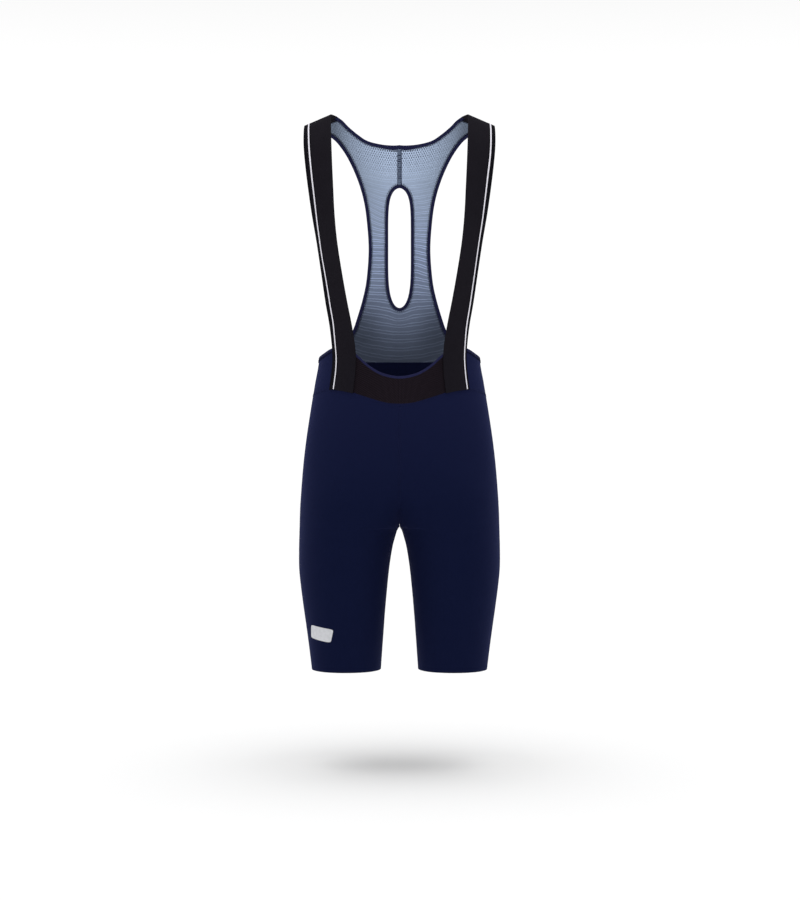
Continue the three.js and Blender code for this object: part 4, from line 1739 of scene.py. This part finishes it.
@dataclass
class Seams:
    """The garment's covered seams."""

    finishes: Finishes
    mesh_reach: float = 64.0

    def waist(self) -> None:
        """Seam between the waist pieces and the leg panels, all the way round."""

        def line(share: float) -> tuple[Vector, Vector, Vector]:
            wrap = 360 * share
            turned = min(wrap, 360 - wrap)
            z = FORM.seam(turned)
            point = FORM.torso(wrap, z)
            ahead = min(wrap + 1, 360 - (wrap + 1))
            along = FORM.torso(wrap + 1, FORM.seam(abs(ahead))) - point
            out = FORM.torso_out(wrap, z)
            return point, out, along.cross(out).normalized()

        Seam("waist_seam", line, 800, self.finishes, width=3.0, height=0.25).build()

    def mesh_foot(self, face: Face) -> None:
        """Seam between the back mesh and the yoke.

        Args:
            face: The side of the cloth it lies on.
        """

        def line(share: float) -> tuple[Vector, Vector, Vector]:
            turn = math.radians(lerp(-self.mesh_reach, self.mesh_reach, share))
            x = FORM.line_half(BACK_END) * math.sin(turn)
            along = FORM.spine(x + 1, BACK_END) - FORM.spine(x - 1, BACK_END)
            out = FORM.spine_out(x, BACK_END) * face.value
            lift = 0.0 if face is Face.OUTSIDE else 1.0
            return FORM.spine(x, BACK_END + 0.3) + out * lift, out, along.cross(out).normalized()

        name = "mesh_foot_seam_" + face.name.lower()
        Seam(name, line, 250, self.finishes, width=2.4, height=0.25).build()

    def centre(self, name: str, around: float, low: float, high: float) -> None:
        """Seam on the centre plane.

        Args:
            name: The seam's name.
            around: 0 for centre front, 1 for centre back.
            low: Its lowest level.
            high: Its highest level.
        """

        def line(share: float) -> tuple[Vector, Vector, Vector]:
            z = lerp(high, low, share ** 0.7)
            point = FORM.leg(around, z)
            up = FORM.leg(around, z + 0.5) - FORM.leg(around, z - 0.5)
            up.x = 0
            side = Vector((1, 0, 0))
            out = side.cross(up).normalized()
            if around > 0.5:
                out = -out
            return Vector((0, point.y, point.z)), out, side

        Seam(name, line, 210, self.finishes, width=3.4, height=0.3).build()

    def build(self) -> None:
        """Build every seam."""
        self.waist()
        for face in Face:
            self.mesh_foot(face)
        self.centre("centre_front_seam", 0.0, CROTCH + 6, -461)
        self.centre("centre_back_seam", 1.0, CROTCH + 6, -454)


@dataclass
class Studio:
    """Pale floor, soft lights and the camera of the photograph."""

    distance: float = 3.1
    level: float = -0.528
    shift: float = 0.0008
    lens: float = 77.5
    floor: float = -1.032
    horizon: float = 1.05
    zenith: float = 0.4
    overhead: float = 2.15
    softness: float = 1.15

    def sky(self) -> None:
        """Make a white studio that is brightest at the horizon."""
        world = bpy.data.worlds.new("studio")
        world.use_nodes = True
        tree = world.node_tree
        place = tree.nodes.new("ShaderNodeTexCoord")
        split = tree.nodes.new("ShaderNodeSeparateXYZ")
        fade = tree.nodes.new("ShaderNodeMapRange")
        fade.interpolation_type = "SMOOTHSTEP"
        tree.links.new(place.outputs["Generated"], split.inputs[0])
        tree.links.new(split.outputs[2], fade.inputs[0])
        for index, value in ((1, 0.14), (2, 0.5), (3, self.horizon), (4, self.zenith)):
            fade.inputs[index].default_value = value
        light = tree.nodes["Background"]
        light.inputs[0].default_value = (1, 1, 1, 1)
        tree.links.new(fade.outputs[0], light.inputs[1])
        bpy.context.scene.world = world

    def build(self) -> None:
        """Set up the world, the floor, the lights and the camera."""
        scene = bpy.context.scene
        scene.view_settings.view_transform = "Standard"
        self.sky()
        data = bpy.data.meshes.new("floor")
        bm = bmesh.new()
        bmesh.ops.create_grid(bm, x_segments=1, y_segments=1, size=30)
        bmesh.ops.translate(bm, verts=bm.verts, vec=(0, 0, self.floor))
        bm.to_mesh(data)
        bm.free()
        floor = bpy.data.objects.new("floor", data)
        scene.collection.objects.link(floor)
        paint = bpy.data.materials.new("floor_white")
        paint.use_nodes = True
        shader = paint.node_tree.nodes["Principled BSDF"]
        shader.inputs["Base Color"].default_value = (0.9, 0.9, 0.9, 1)
        shader.inputs["Roughness"].default_value = 1.0
        shader.inputs["Specular IOR Level"].default_value = 0.0
        data.materials.append(paint)
        above = bpy.data.lights.new("overhead", "SUN")
        above.energy = self.overhead
        above.angle = self.softness
        scene.collection.objects.link(bpy.data.objects.new("overhead", above))
        camera = bpy.data.cameras.new("camera")
        camera.lens = self.lens
        camera.sensor_width = 36
        made = bpy.data.objects.new("camera", camera)
        scene.collection.objects.link(made)
        made.location = (self.shift, -self.distance, self.level)
        made.rotation_euler = (math.pi / 2, 0, 0)
        scene.camera = made


def main() -> None:
    """Build the garment and the studio."""
    logging.basicConfig(level=logging.INFO, format="%(name)s %(message)s")
    finishes = Finishes()
    Studio().build()
    for side in Side:
        LegPanel(side, finishes).build()
    waist = Waist(finishes)
    waist.front_panel()
    waist.yoke()
    back = BackMesh(finishes)
    back.build()
    Bindings(back, finishes).build()
    for side in Side:
        Strap(side, finishes).build()
    Seams(finishes).build()
    LegTab(finishes).build()


if __name__ == "__main__":
    main()
